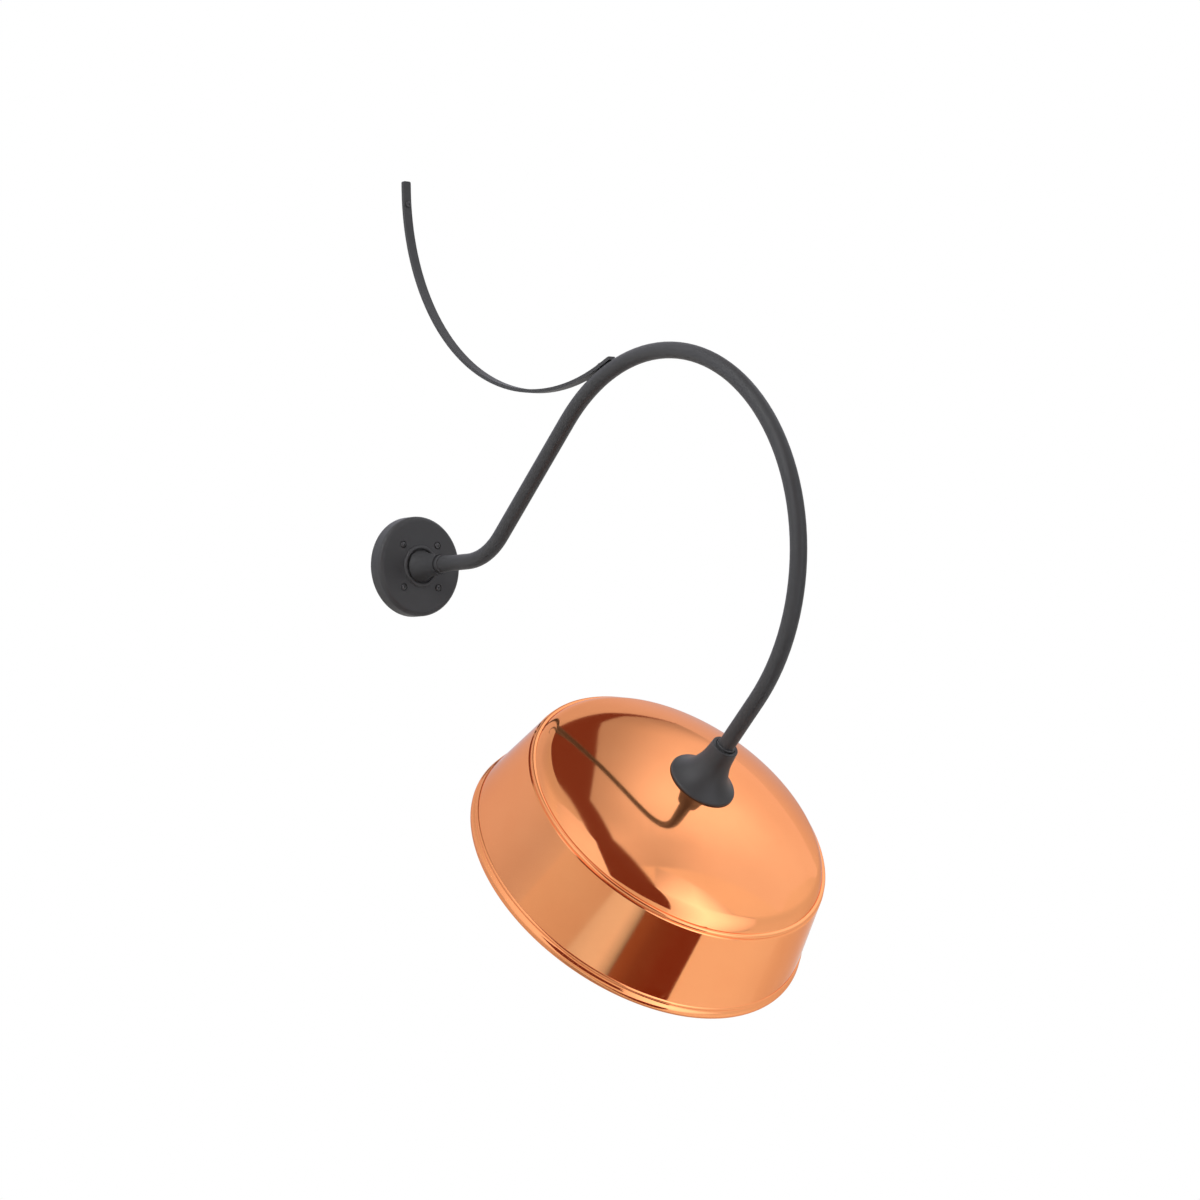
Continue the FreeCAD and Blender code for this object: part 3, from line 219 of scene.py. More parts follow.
def put_in_scene(name, data):
    obj = bpy.data.objects.new(name, data)
    bpy.context.scene.collection.objects.link(obj)
    return obj


def mesh_object(name, vertices, faces, material):
    mesh = bpy.data.meshes.new(name)
    mesh.from_pydata(vertices, [], faces)
    mesh.materials.append(material)
    mesh.update()
    return put_in_scene(name, mesh)


def arc(start, end, radius, steps):
    """Points (r, s) of the shorter arc between two points; it bends to the left when radius is positive."""
    a, b = Vector(start), Vector(end)
    span = b - a
    rise = math.sqrt(max(radius * radius - span.length_squared / 4, 0.0)) / span.length
    centre = (a + b) / 2 + Vector((-span.y, span.x)) * math.copysign(rise, radius)
    first = math.atan2(a.y - centre.y, a.x - centre.x)
    turn = 2 * math.asin(min(span.length / 2 / abs(radius), 1.0)) * math.copysign(1, radius)
    return [
        (centre.x + abs(radius) * math.cos(first + turn * i / steps),
         centre.y + abs(radius) * math.sin(first + turn * i / steps))
        for i in range(steps + 1)
    ]


def run(start, end, steps):
    """Points on a straight run, both ends included."""
    return [tuple(Vector(start).lerp(Vector(end), i / steps)) for i in range(steps + 1)]


def outline(*stretches):
    """Joins stretches of points into one closed outline without doubled points."""
    points = []
    for stretch in stretches:
        for point in stretch:
            if not points or (Vector(point) - Vector(points[-1])).length > 1e-4:
                points.append(tuple(point))
    if (Vector(points[0]) - Vector(points[-1])).length < 1e-4:
        points.pop()
    return points


def profile_curve(name, points):
    """A closed curve through (r, s) points in mm, r along X and s along Y."""
    data = bpy.data.curves.new(name, "CURVE")
    data.dimensions = "3D"
    spline = data.splines.new("POLY")
    spline.points.add(len(points) - 1)
    for point, (r, s) in zip(spline.points, points):
        point.co = (r * MM, s * MM, 0.0, 1.0)
    spline.use_cyclic_u = True
    return put_in_scene(name, data)


def geometry_group(name, inputs):
    """An empty geometry node group that also takes a material."""
    geometry = {"Geometry": "Geometry"}
    return node_group("GeometryNodeTree", name, geometry | inputs | {"Material": "Material"}, geometry)


def close_tree(tree, given, out, socket):
    """Realize the instances, give the material and hand the geometry out."""
    real = add(tree, "GeometryNodeRealizeInstances", {"Geometry": socket})
    dress = add(tree, "GeometryNodeSetMaterial", {
        "Geometry": real.outputs["Geometry"], "Material": given["Material"]})
    link(tree, dress.outputs["Geometry"], out["Geometry"])
    return tree


def build_lathe():
    """Sweeps an outline round an axis, then presses a screw thread into a stretch of its height."""
    tree, given, out = geometry_group("lathe", {
        "Outline": "Object", "Segments": "Int", "Pitch": "Float", "Depth": "Float", "Low": "Float",
        "High": "Float", "Reach": "Float"})

    def do(operation, *values):
        return maths(tree, operation, *values)

    path_radius = 0.1
    shape = add(tree, "GeometryNodeObjectInfo", {"Object": given["Outline"]})
    shift = add(tree, "GeometryNodeTransform", {
        "Geometry": shape.outputs["Geometry"], "Translation": (-path_radius, 0.0, 0.0),
        "Scale": (1.0, -1.0, 1.0)})
    ring = add(tree, "GeometryNodeCurvePrimitiveCircle", {
        "Resolution": given["Segments"], "Radius": path_radius})
    sweep = add(tree, "GeometryNodeCurveToMesh", {
        "Curve": ring.outputs["Curve"], "Profile Curve": shift.outputs["Geometry"]})

    place = tree.nodes.new("GeometryNodeInputPosition")
    split = add(tree, "ShaderNodeSeparateXYZ", {"Vector": place.outputs["Position"]})
    x, y, z = (split.outputs[axis] for axis in "XYZ")
    radius = do("SQRT", do("ADD", do("MULTIPLY", x, x), do("MULTIPLY", y, y)))
    turns = do("DIVIDE", do("ARCTAN2", y, x), 2 * math.pi)
    steps = do("DIVIDE", z, given["Pitch"])
    wave = do("COSINE", do("MULTIPLY", do("SUBTRACT", steps, turns), 2 * math.pi))
    fade_in = do("DIVIDE", do("SUBTRACT", z, given["Low"]), given["Pitch"])
    fade_out = do("DIVIDE", do("SUBTRACT", given["High"], z), given["Pitch"])
    fade = add(tree, "ShaderNodeClamp", {"Value": do("MINIMUM", fade_in, fade_out)})
    least_radius = 0.0004
    inside = do("LESS_THAN", radius, given["Reach"])
    off_axis = do("GREATER_THAN", radius, least_radius)
    depth = do("MULTIPLY", do("MULTIPLY", given["Depth"], fade.outputs[0]), do("MULTIPLY", inside, off_axis))
    grow = do("DIVIDE", do("MULTIPLY", wave, depth), do("MAXIMUM", radius, least_radius))
    offset = add(tree, "ShaderNodeCombineXYZ", {"X": do("MULTIPLY", x, grow), "Y": do("MULTIPLY", y, grow)})
    move = add(tree, "GeometryNodeSetPosition", {
        "Geometry": sweep.outputs["Mesh"], "Offset": offset.outputs["Vector"]})
    weld = add(tree, "GeometryNodeMergeByDistance", {"Geometry": move.outputs["Geometry"], "Distance": 1e-6})
    return close_tree(tree, given, out, weld.outputs["Geometry"])


def build_ring_of_copies():
    """Sets copies of a piece evenly on a circle round Z, each turned by chance on its own axis."""
    tree, given, out = geometry_group("ring_of_copies", {
        "Piece": "Object", "Count": "Int", "Radius": "Float", "Start": "Float"})
    piece = add(tree, "GeometryNodeObjectInfo", {"Object": given["Piece"]})
    index = tree.nodes.new("GeometryNodeInputIndex")
    share = maths(tree, "DIVIDE", index.outputs["Index"], given["Count"])
    angle = maths(tree, "MULTIPLY_ADD", share, 2 * math.pi, given["Start"])
    x, y = (maths(tree, "MULTIPLY", maths(tree, wave, angle), given["Radius"]) for wave in ("COSINE", "SINE"))
    place = add(tree, "ShaderNodeCombineXYZ", {"X": x, "Y": y})
    ring = add(tree, "GeometryNodePoints", {"Count": given["Count"], "Position": place.outputs["Vector"]})
    lean = add(tree, "FunctionNodeRandomValue", {"Seed": 5, 2: 0.0, 3: 1.5}, data_type="FLOAT")
    spin = add(tree, "ShaderNodeCombineXYZ", {"Z": lean.outputs[1]})
    copies = add(tree, "GeometryNodeInstanceOnPoints", {
        "Points": ring.outputs["Points"], "Instance": piece.outputs["Geometry"],
        "Rotation": spin.outputs["Vector"]})
    return close_tree(tree, given, out, copies.outputs["Instances"])


def build_coil():
    """A round wire wound into an open coil along Z."""
    tree, given, out = geometry_group("coil", {
        "Radius": "Float", "Wire": "Float", "Height": "Float", "Turns": "Float"})
    helix = add(tree, "GeometryNodeCurveSpiral", {
        "Resolution": 36, "Rotations": given["Turns"], "Start Radius": given["Radius"],
        "End Radius": given["Radius"], "Height": given["Height"]})
    wire = add(tree, "GeometryNodeCurvePrimitiveCircle", {"Resolution": 14, "Radius": given["Wire"]})
    sweep = add(tree, "GeometryNodeCurveToMesh", {
        "Curve": helix.outputs["Curve"], "Profile Curve": wire.outputs["Curve"], "Fill Caps": True})
    return close_tree(tree, given, out, sweep.outputs["Mesh"])


LATHE = build_lathe()
COPIES = build_ring_of_copies()
COIL = build_coil()


def evaluated_mesh(obj):
    """A new mesh of an object with its modifiers applied."""
    bpy.context.view_layer.update()
    return bpy.data.meshes.new_from_object(obj.evaluated_get(bpy.context.evaluated_depsgraph_get()))


def remove(obj):
    bpy.data.objects.remove(obj, do_unlink=True)


def grown(name, tree, place=None, sharp=40.0, **values):
    """A plain mesh object from a geometry node group, moved to its place; the modifier is gone."""
    seed = mesh_object(f"{name}_seed", [(0, 0, 0)], [], values["Material"])
    nodes = seed.modifiers.new("shape", "NODES")
    nodes.node_group = tree
    for item in tree.interface.items_tree:
        if item.in_out == "INPUT" and item.name in values:
            nodes[item.identifier] = values[item.name]
    mesh = evaluated_mesh(seed)
    mesh.name = name
    remove(seed)
    if place is not None:
        mesh.transform(place)
    obj = put_in_scene(name, mesh)
    finish_mesh(obj, sharp)
    return obj


def finish_mesh(obj, sharp=40.0):
    """Weld, face outwards, and shade smooth between sharp edges."""
    work = bmesh.new()
    work.from_mesh(obj.data)
    bmesh.ops.remove_doubles(work, verts=work.verts, dist=2e-7)
    bmesh.ops.delete(work, geom=[e for e in work.edges if not e.link_faces], context="EDGES")
    bmesh.ops.delete(work, geom=[v for v in work.verts if not v.link_edges], context="VERTS")
    bmesh.ops.recalc_face_normals(work, faces=work.faces)
    work.to_mesh(obj.data)
    work.free()
    obj.data.shade_smooth()
    obj.data.set_sharp_from_angle(angle=math.radians(sharp))


def lathe(name, points, material, place=None, segments=96, pitch=1.0, depth=0.0, low=0.0, high=0.0,
          reach=1000.0, sharp=40.0):
    """A closed outline of (radius, height) in mm turned about Z, threaded between two heights."""
    curve = profile_curve(f"{name}_outline", points)
    obj = grown(name, LATHE, place, sharp, Outline=curve, Segments=segments, Pitch=pitch * MM,
                Depth=depth * MM, Low=low * MM, High=high * MM, Reach=reach * MM, Material=material)
    remove(curve)
    return obj


def cut(obj, cutter):
    """Take the cutter's shape out of a mesh and remove the cutter."""
    tool = obj.modifiers.new("cut", "BOOLEAN")
    tool.object = cutter
    tool.solver = "EXACT"
    mesh = evaluated_mesh(obj)
    obj.modifiers.remove(tool)
    obj.data = mesh
    remove(cutter)
    finish_mesh(obj)


def join(name, *objs):
    """One mesh object out of several."""
    work = bmesh.new()
    for obj in objs:
        work.from_mesh(obj.data)
    mesh = bpy.data.meshes.new(name)
    for material in objs[0].data.materials:
        mesh.materials.append(material)
    work.to_mesh(mesh)
    work.free()
    for obj in objs:
        remove(obj)
    mesh.shade_smooth()
    mesh.set_sharp_from_angle(angle=math.radians(40))
    return put_in_scene(name, mesh)


def cross_cutter(top, reach, depth, material):
    """A tapered cross, as a screwdriver leaves it, with its mouth just above a screw head's top."""
    corners = []
    half, narrowing, clearance = reach * 0.22, 0.55, 0.2
    quarter = [(half, half), (half, reach), (-half, reach)]
    for i in range(4):
        for x, y in quarter:
            for _ in range(i):
                x, y = -y, x
            corners.append((x, y))
    count = len(corners)
    vertices = [(x * MM, y * MM, (top + clearance) * MM) for x, y in corners]
    vertices += [(x * narrowing * MM, y * narrowing * MM, (top - depth) * MM) for x, y in corners]
    faces = [tuple(range(count)), tuple(range(2 * count - 1, count - 1, -1))]
    faces += [(i, i + count, (i + 1) % count + count, (i + 1) % count) for i in range(count)]
    cutter = mesh_object("cross_cutter", vertices, faces, material)
    finish_mesh(cutter)
    return cutter


def screw_piece(name, material, pitch, *, tip, thread, head_radius, head_height, point, low, high, neck=None):
    """A pan-head screw: its seat at height 0, a driver cross in its head and a rolled thread below."""
    shank = neck or thread
    rim = head_height * 0.3
    dome = [
        (head_radius * math.cos(a), rim + (head_height - rim) * math.sin(a))
        for a in (math.radians(90.0 * i / 14) for i in range(15))
    ]
    head = lathe(f"{name}_head", outline([(0.0, 0.0), (head_radius * 0.96, 0.0), (head_radius, 0.12)], dome),
                 material, segments=48, sharp=50)
    cut(head, cross_cutter(head_height, head_radius * 0.5, head_height * 0.55, material))
    steps = max(int((high - low) / pitch * 8), 8)
    depth = pitch * 0.18
    core = thread - depth
    body = outline(
        [(0.0, tip), (thread * 0.35, tip), (core, tip + point)],
        run((core, tip + point), (core, high), steps) if high > tip + point else [],
        [(shank, min(high + 0.3, -0.05)), (shank, 0.0), (0.0, 0.0)],
    )
    rod = lathe(f"{name}_rod", body, material, segments=24, pitch=pitch, depth=depth, low=low, high=high,
                reach=thread + 1.0, sharp=60)
    return join(name, head, rod)


def give(node, material):
    """Give a CAD node one material, on every slot it has."""
    mesh = NODES[node].data
    if not mesh.materials:
        mesh.materials.append(material)
    for i in range(len(mesh.materials)):
        mesh.materials[i] = material


# --- sizes and colours a user would change ---


class ShadeSizes(bpy.types.PropertyGroup):
    copper_light: bpy.props.FloatVectorProperty(
        name="Copper", description="Colour of the polished copper", subtype="COLOR", size=3,
        default=(0.95, 0.380, 0.155), min=0.0, max=1.0)
    copper_dark: bpy.props.FloatVectorProperty(
        name="Copper, dark", description="Darker tone in the copper's clouding", subtype="COLOR", size=3,
        default=(0.92, 0.345, 0.135), min=0.0, max=1.0)
    polish: bpy.props.FloatProperty(
        name="Polish", description="Roughness of the copper", default=0.07, min=0.0, max=1.0,
        subtype="FACTOR")
    segments: bpy.props.IntProperty(
        name="Segments", description="Divisions round the shade", default=288, min=32, max=512)


class CoatSizes(bpy.types.PropertyGroup):
    coat: bpy.props.FloatVectorProperty(
        name="Coat", description="Colour of the powder coat", subtype="COLOR", size=3,
        default=(0.048, 0.048, 0.050), min=0.0, max=1.0)
    coat_roughness: bpy.props.FloatProperty(
        name="Sheen", description="Roughness of the powder coat", default=0.42, min=0.0, max=1.0,
        subtype="FACTOR")


class HardwareSizes(bpy.types.PropertyGroup):
    screw_pitch: bpy.props.FloatProperty(
        name="Screw pitch", description="Thread pitch of the wall screws, in mm", default=1.6, min=0.3,
        max=4.0)
    machine_pitch: bpy.props.FloatProperty(
        name="Machine pitch", description="Thread pitch of the machine screws, in mm", default=0.7, min=0.2,
        max=2.0)
    shell_pitch: bpy.props.FloatProperty(
        name="Socket pitch", description="Thread pitch of the lampholder's shell, in mm", default=3.63,
        min=1.0, max=6.0)
    shell_depth: bpy.props.FloatProperty(
        name="Socket thread", description="Half the depth of the shell's rolled thread, in mm", default=0.38,
        min=0.0, max=0.5)


class StudioSizes(bpy.types.PropertyGroup):
    floor_height: bpy.props.FloatProperty(
        name="Floor", description="Height of the studio floor", default=-0.85, unit="LENGTH")
    key: bpy.props.FloatProperty(
        name="Key light", description="Power of the large soft light", default=150.0, min=0.0, unit="POWER")


# --- operators ---


class SCONCE_OT_coat(bpy.types.Operator):
    """Give the flange, arm, strap and neck their black powder coat"""

    bl_idname = "sconce.coat"
    bl_label = "Powder coat"

    def execute(self, context):
        sizes = context.scene.sconce_coat
        tone = Vector(sizes.coat)
        material = surface("black_coat", tone * 1.06, tone * 0.94, sizes.coat_roughness, bump=0.10,
                           grain=1100.0, specular=0.28)
        for node in ("wall_flange", "gooseneck_arm", "support_strap", "neck_casting"):
            give(node, material)
        ring = surface("seal_ring", tone * 0.98, tone * 0.84, 0.5, bump=0.06, grain=700.0)
        for node in ("hub_seal_ring", "neck_seal_ring"):
            give(node, ring)
        rubber = surface("rubber", (0.022, 0.022, 0.022), (0.016, 0.016, 0.016), 0.62, bump=0.05)
        for node in ("flange_gasket", "shade_gasket"):
            give(node, rubber)
        return {"FINISHED"}


# Stations and radii of the spun shade in mm, measured along and from the lamp axis.
SEAT = 142.0
SHEET = 1.1
CROWN = 414.0
SHOULDER = 35.0
DOME_EDGE = (202.5, 199.5)


def shade_outline():
    """The shade's section: seat, crown, shoulder, ledge, top bead, band, step bead and rolled rim."""
    bore, seat_r = 30.0, 46.0
    centre = SEAT + math.sqrt(CROWN ** 2 - seat_r ** 2)
    edge_r, edge_s = DOME_EDGE
    down = centre - edge_s
    reach = math.hypot(edge_r, down)
    inner = CROWN - SHOULDER
    along = (inner ** 2 - SHOULDER ** 2 + reach ** 2) / (2 * reach)
    off = math.sqrt(inner ** 2 - along ** 2)
    shoulder = Vector(((along * edge_r - off * down) / reach, centre - (along * down + off * edge_r) / reach))

    def meeting(radius):
        """Where the crown at a radius meets the line through the shoulder's centre."""
        return shoulder.x * radius / inner, centre - (centre - shoulder.y) * radius / inner

    share = (SHOULDER - SHEET) / SHOULDER
    inner_edge = tuple(shoulder + (Vector(DOME_EDGE) - shoulder) * share)
    under = seat_r - 0.3
    under_s = centre - math.sqrt((CROWN - SHEET) ** 2 - under ** 2)
    ledge, bead_r, step_r = 2.3, 3.0, 2.6
    ledge_end = (edge_r + ledge, edge_s)
    bead = (ledge_end[0] + bead_r, edge_s + bead_r)
    band_top, band_foot = (209.2, edge_s + 6.3), (230.3, edge_s + 104.3)
    bead_end = (band_foot[0] + SHEET, band_foot[1] + 4.68)
    roll_r, roll_s, roll = 228.2, 316.2, 7.0
    into, up = 0.55, 0.83516
    thin = roll - SHEET
    return outline(
        run((bore, SEAT), (seat_r, SEAT), 4),
        arc((seat_r, SEAT), meeting(CROWN), CROWN, 90),
        arc(meeting(CROWN), DOME_EDGE, SHOULDER, 40),
        run(DOME_EDGE, ledge_end, 2),
        arc(ledge_end, bead, bead_r, 8), arc(bead, (ledge_end[0], edge_s + 2 * bead_r), bead_r, 8)[:5],
        run(band_top, band_foot, 30),
        arc(band_foot, bead_end, step_r, 10),
        arc((roll_r + roll * into, roll_s - roll * up), (roll_r + roll, roll_s), roll, 8),
        arc((roll_r + roll, roll_s), (roll_r, roll_s + roll), roll, 12),
        arc((roll_r, roll_s + roll), (roll_r - roll, roll_s), roll, 12),
        [(roll_r - roll * into, roll_s - roll * up)],
        arc((roll_r - thin * into, roll_s - thin * up), (roll_r - thin, roll_s), -thin, 4)[:1],
        arc((roll_r - thin, roll_s), (roll_r, roll_s + thin), -thin, 8),
        arc((roll_r, roll_s + thin), (roll_r + thin, roll_s), -thin, 8),
        [(roll_r + thin * into, roll_s - thin * up)],
        run((band_foot[0] - SHEET, band_foot[1]), (band_top[0] - SHEET, band_top[1]), 30),
        [(inner_edge[0] + ledge, inner_edge[1] + SHEET)],
        arc(inner_edge, meeting(CROWN - SHEET), -(SHOULDER - SHEET), 30),
        arc(meeting(CROWN - SHEET), (under, under_s), -(CROWN - SHEET), 60),
        [(bore, SEAT + SHEET)],
    )


class SCONCE_OT_shade(bpy.types.Operator):
    """Turn the spun copper shade in one sheet, with its beads and rolled rim"""

    bl_idname = "sconce.shade"
    bl_label = "Spun shade"

    def execute(self, context):
        sizes = context.scene.sconce_shade
        material = copper("spun_copper", sizes.copper_light, sizes.copper_dark, sizes.polish)
        shade = lathe("spun_shade", shade_outline(), material, LAMP, segments=sizes.segments, sharp=50)
        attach(shade, "lamp")
        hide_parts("shade")
        return {"FINISHED"}


def settle(piece, node, body="lamp"):
    """The piece rides on its body and stands in for its CAD node, which is hidden."""
    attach(piece, body)
    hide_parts(node)


def wall_axis(z, seat):
    """Local Z out of the wall on its centre line, at a height in m, from seat mm before the wall."""
    turn = Matrix.Rotation(math.radians(90), 4, "X")
    return Matrix.Translation((0.0, 0.0, z)) @ turn @ Matrix.Translation((0, 0, seat * MM))


def lamp_at(station):
    """Local Z down the lamp axis, from a station in mm."""
    return LAMP @ Matrix.Translation((0.0, 0.0, station * MM))


def ring_of(name, screw, place, count, radius, start, material):
    """Copies of a screw on a circle, radius in mm and first angle in degrees; the screw itself goes."""
    copies = grown(name, COPIES, place, Piece=screw, Count=count, Radius=radius * MM,
                   Start=math.radians(start), Material=material)
    remove(screw)
    return copies


def wall_screw(name, material, pitch, seat):
    """A screw with its head's seat seat mm before the wall and its tip 30 mm behind it."""
    tip = -30.0 - seat
    return screw_piece(name, material, pitch, tip=tip, thread=2.4, head_radius=4.3, head_height=3.0,
                       point=5.0, low=tip + 1.5, high=-0.5 - seat, neck=2.2)


class SCONCE_OT_wall_screws(bpy.types.Operator):
    """Set the four flange screws on their square, and the strap's screw and bolt"""

    bl_idname = "sconce.wall_screws"
    bl_label = "Wall screws"

    def execute(self, context):
        pitch = context.scene.sconce_hardware.screw_pitch
        blackened = surface("black_screws", (0.062, 0.062, 0.065), (0.045, 0.045, 0.047), 0.34, metallic=0.35,
                            bump=0.04)
        seat, square = 20.6, 58.1
        screw = wall_screw("wall_screw", blackened, pitch, seat)
        screws = ring_of("flange_screws_made", screw, wall_axis(0.0, seat), 4, square / math.sqrt(2), 45,
                         blackened)
        settle(screws, "flange_screws")

        low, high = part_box("strap_wall_screw")
        seat = -low[1] / MM - 3.0
        screw = wall_screw("strap_screw_made", blackened, pitch, seat)
        screw.data.transform(wall_axis((low[2] + high[2]) / 2, seat))
        settle(screw, "strap_wall_screw")
        give("strap_bolt", blackened)
        return {"FINISHED"}


class SCONCE_OT_metalwork(bpy.types.Operator):
    """Finish the plate, its screws, the lampholder and the leads"""

    bl_idname = "sconce.metalwork"
    bl_label = "Lampholder"

    def execute(self, context):
        pitch = context.scene.sconce_hardware.machine_pitch
        zinc = surface("zinc_steel", (0.62, 0.63, 0.65), (0.5, 0.51, 0.53), 0.3, metallic=1.0, bump=0.05)
        porcelain = surface("porcelain", (0.90, 0.88, 0.83), (0.86, 0.84, 0.79), 0.16, bump=0.02, grain=300.0)
        green = surface("green_screw", (0.05, 0.30, 0.10), (0.04, 0.24, 0.08), 0.3, metallic=0.7, bump=0.03)
        for node in ("hub_set_screw", "neck_set_screw", "strap_insert", "lamp_plate"):
            give(node, zinc)
        give("lampholder_body", porcelain)
        give("earth_screw", green)
        plate_foot, holder_step = 145.1, 8.0
        screw = screw_piece("plate_screw", zinc, pitch, tip=-7.8, thread=2.0, head_radius=3.87,
                            head_height=3.0, point=0.6, low=-7.0, high=-0.4)
        screws = ring_of("plate_screws_made", screw, lamp_at(plate_foot), 3, 35.0, 90, zinc)
        settle(screws, "plate_screws")
        screw = screw_piece("holder_screw", zinc, pitch, tip=-11.5, thread=1.6, head_radius=3.1,
                            head_height=2.2, point=0.5, low=-11.0, high=-0.4)
        screws = ring_of("lampholder_screws_made", screw, lamp_at(plate_foot + holder_step), 2, 24.3, 0, zinc)
        settle(screws, "lampholder_screws")
        for node, tone in (("lead_live", (0.03, 0.03, 0.03)), ("lead_neutral", (0.8, 0.8, 0.77)),
                           ("lead_earth", (0.03, 0.32, 0.1))):
            tone = Vector(tone)
            give(node, surface(node.replace("lead_", "insulation_"), tone, tone * 0.9, 0.45, bump=0.03))
        return {"FINISHED"}


class SCONCE_OT_socket(bpy.types.Operator):
    """Roll the lampholder's threaded shell and wind the centre contact's spring"""

    bl_idname = "sconce.socket"
    bl_label = "Socket"

    def execute(self, context):
        sizes = context.scene.sconce_hardware
        brass = surface("brass", (0.80, 0.60, 0.27), (0.70, 0.50, 0.20), 0.25, metallic=1.0, bump=0.03)
        steel = surface("spring_steel", (0.5, 0.5, 0.52), (0.42, 0.42, 0.44), 0.3, metallic=1.0, bump=0.02)
        for node in ("shell_rivets", "contact_guide", "contact_button"):
            give(node, brass)
        floor, rim, hole = 158.1, 187.6, 6.5
        wall, foot, sheet = 13.1, 12.6, 0.5
        lip, shoulder, start = rim - 1.2, floor + 5.4, floor + 6.1
        points = outline(
            [(hole, floor), (foot + sheet, floor), (foot + sheet, shoulder)],
            run((wall + sheet, start), (wall + sheet, lip), 84),
            [(wall + sheet + 0.15, rim - 0.5), (wall + 2 * sheet, rim), (wall + sheet, rim),
             (wall + 0.12, rim - 0.5)],
            run((wall, lip), (wall, start), 84),
            [(foot, shoulder), (foot, floor + sheet), (hole, floor + sheet)],
        )
        shell = lathe("threaded_shell", points, brass, LAMP, segments=96, pitch=sizes.shell_pitch,
                      depth=sizes.shell_depth, low=floor + 6.2, high=lip, sharp=60)
        settle(shell, "screw_shell")
        height, turn = 6.1, 1.3
        spring = grown("coiled_spring", COIL, lamp_at(149.5), Radius=2.25 * MM, Wire=0.3 * MM,
                       Height=height * MM, Turns=height / turn, Material=steel)
        settle(spring, "contact_spring")
        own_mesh(spring)
        return {"FINISHED"}


CAMERA_AZIMUTH = -39.491
CAMERA_ELEVATION = -3.049
CAMERA_ROLL = 1.093
FOCAL_PIXELS = 3622.0
ORIGIN_PIXEL = (411.329, 567.186)
ORIGIN_DEPTH = 4.982
PHOTO_SIZE = 1200.0


def make_camera():
    """The photograph's camera: its angle, its roll, and where the flange's centre falls in the frame."""
    azimuth, elevation, roll = (math.radians(a) for a in (CAMERA_AZIMUTH, CAMERA_ELEVATION, CAMERA_ROLL))
    right = Vector((math.cos(azimuth), math.sin(azimuth), 0.0))
    forward = Vector((-math.sin(azimuth) * math.cos(elevation), math.cos(azimuth) * math.cos(elevation),
                      -math.sin(elevation)))
    down = forward.cross(right)
    rolled_right = right * math.cos(roll) + down * math.sin(roll)
    rolled_down = down * math.cos(roll) - right * math.sin(roll)
    centre = PHOTO_SIZE / 2
    across = (ORIGIN_PIXEL[0] - centre) * ORIGIN_DEPTH / FOCAL_PIXELS
    below = (ORIGIN_PIXEL[1] - centre) * ORIGIN_DEPTH / FOCAL_PIXELS
    place = -(rolled_right * across + rolled_down * below + forward * ORIGIN_DEPTH)
    data = bpy.data.cameras.new("camera")
    data.sensor_width = 36.0
    data.lens = data.sensor_width * FOCAL_PIXELS / PHOTO_SIZE
    data.clip_end = 50.0
    camera = put_in_scene("camera", data)
    turn = Matrix((rolled_right, -rolled_down, -forward)).transposed().to_4x4()
    camera.matrix_world = Matrix.Translation(place) @ turn
    bpy.context.scene.camera = camera


def soft_light(name, place, aim, side, power):
    """A square light that shows in no reflection."""
    data = bpy.data.lights.new(name, "AREA")
    data.shape = "RECTANGLE"
    data.size, data.size_y = side, side
    data.energy = power
    light = put_in_scene(name, data)
    place, aim = Vector(place), Vector(aim)
    turn = (aim - place).to_track_quat("-Z", "Y").to_matrix().to_4x4()
    light.matrix_world = Matrix.Translation(place) @ turn
    light.visible_glossy = False


BEHIND_CAMERA = Vector((-0.60182, -0.79864, 0.0))
BESIDE_CAMERA = Vector((-0.79864, 0.60182, 0.0))
SHADE_MIDDLE = Vector((0.0, -0.55, -0.36))
CARD_DISTANCE = 30.0
CARD_GAP = 2.0
ROOM_HALF = 6.0
WHITE = (1.0, 1.0, 1.0, 1.0)
DARK_TONE = (0.17, 0.026, 0.005)
PALE = (1.0, 1.0, 1.07)
BEIGE = (0.86, 1.0, 1.10)


def toward_wall(x, y):
    """The direction of a point on a wall behind the camera, one unit away."""
    return (BEHIND_CAMERA + BESIDE_CAMERA * x + Vector((0.0, 0.0, y))).normalized()


def toward_ceiling(x, y):
    """The direction of a point on a ceiling one unit above."""
    return Vector((x, y, 1.0)).normalized()


def toward(azimuth, elevation):
    """The direction at an azimuth from +X and an elevation, both in degrees."""
    turn, rise = math.radians(azimuth), math.radians(elevation)
    return Vector((math.cos(turn) * math.cos(rise), math.sin(turn) * math.cos(rise), math.sin(rise)))


def hide_from(obj, *rays):
    for ray in rays:
        setattr(obj, f"visible_{ray}", False)


def card(name, colour, rows, layer=0):
    """A far card seen only in reflections; each point is (strength or colour, direction)."""
    width = len(rows[0])
    corners = [j * width + i for j in range(len(rows) - 1) for i in range(width - 1)]
    faces = [(corner, corner + 1, corner + width + 1, corner + width) for corner in corners]
    points = [point for row in rows for point in row]
    distance = CARD_DISTANCE + CARD_GAP * layer
    vertices = [tuple(SHADE_MIDDLE + direction * distance) for _, direction in points]
    tones = [level if isinstance(level, tuple) else tuple(Vector(colour) * level) for level, _ in points]
    material, tree, out = bare_material(name)
    tone = add(tree, "ShaderNodeAttribute", attribute_name="glow")
    glow = add(tree, "ShaderNodeEmission", {"Color": tone.outputs["Color"]})
    link(tree, glow.outputs["Emission"], out)
    obj = mesh_object(name, vertices, faces, material)
    attribute = obj.data.attributes.new("glow", "FLOAT_COLOR", "POINT")
    attribute.data.foreach_set("color", [value for tone in tones for value in (*tone, 1.0)])
    hide_from(obj, "camera", "diffuse", "shadow", "transmission")


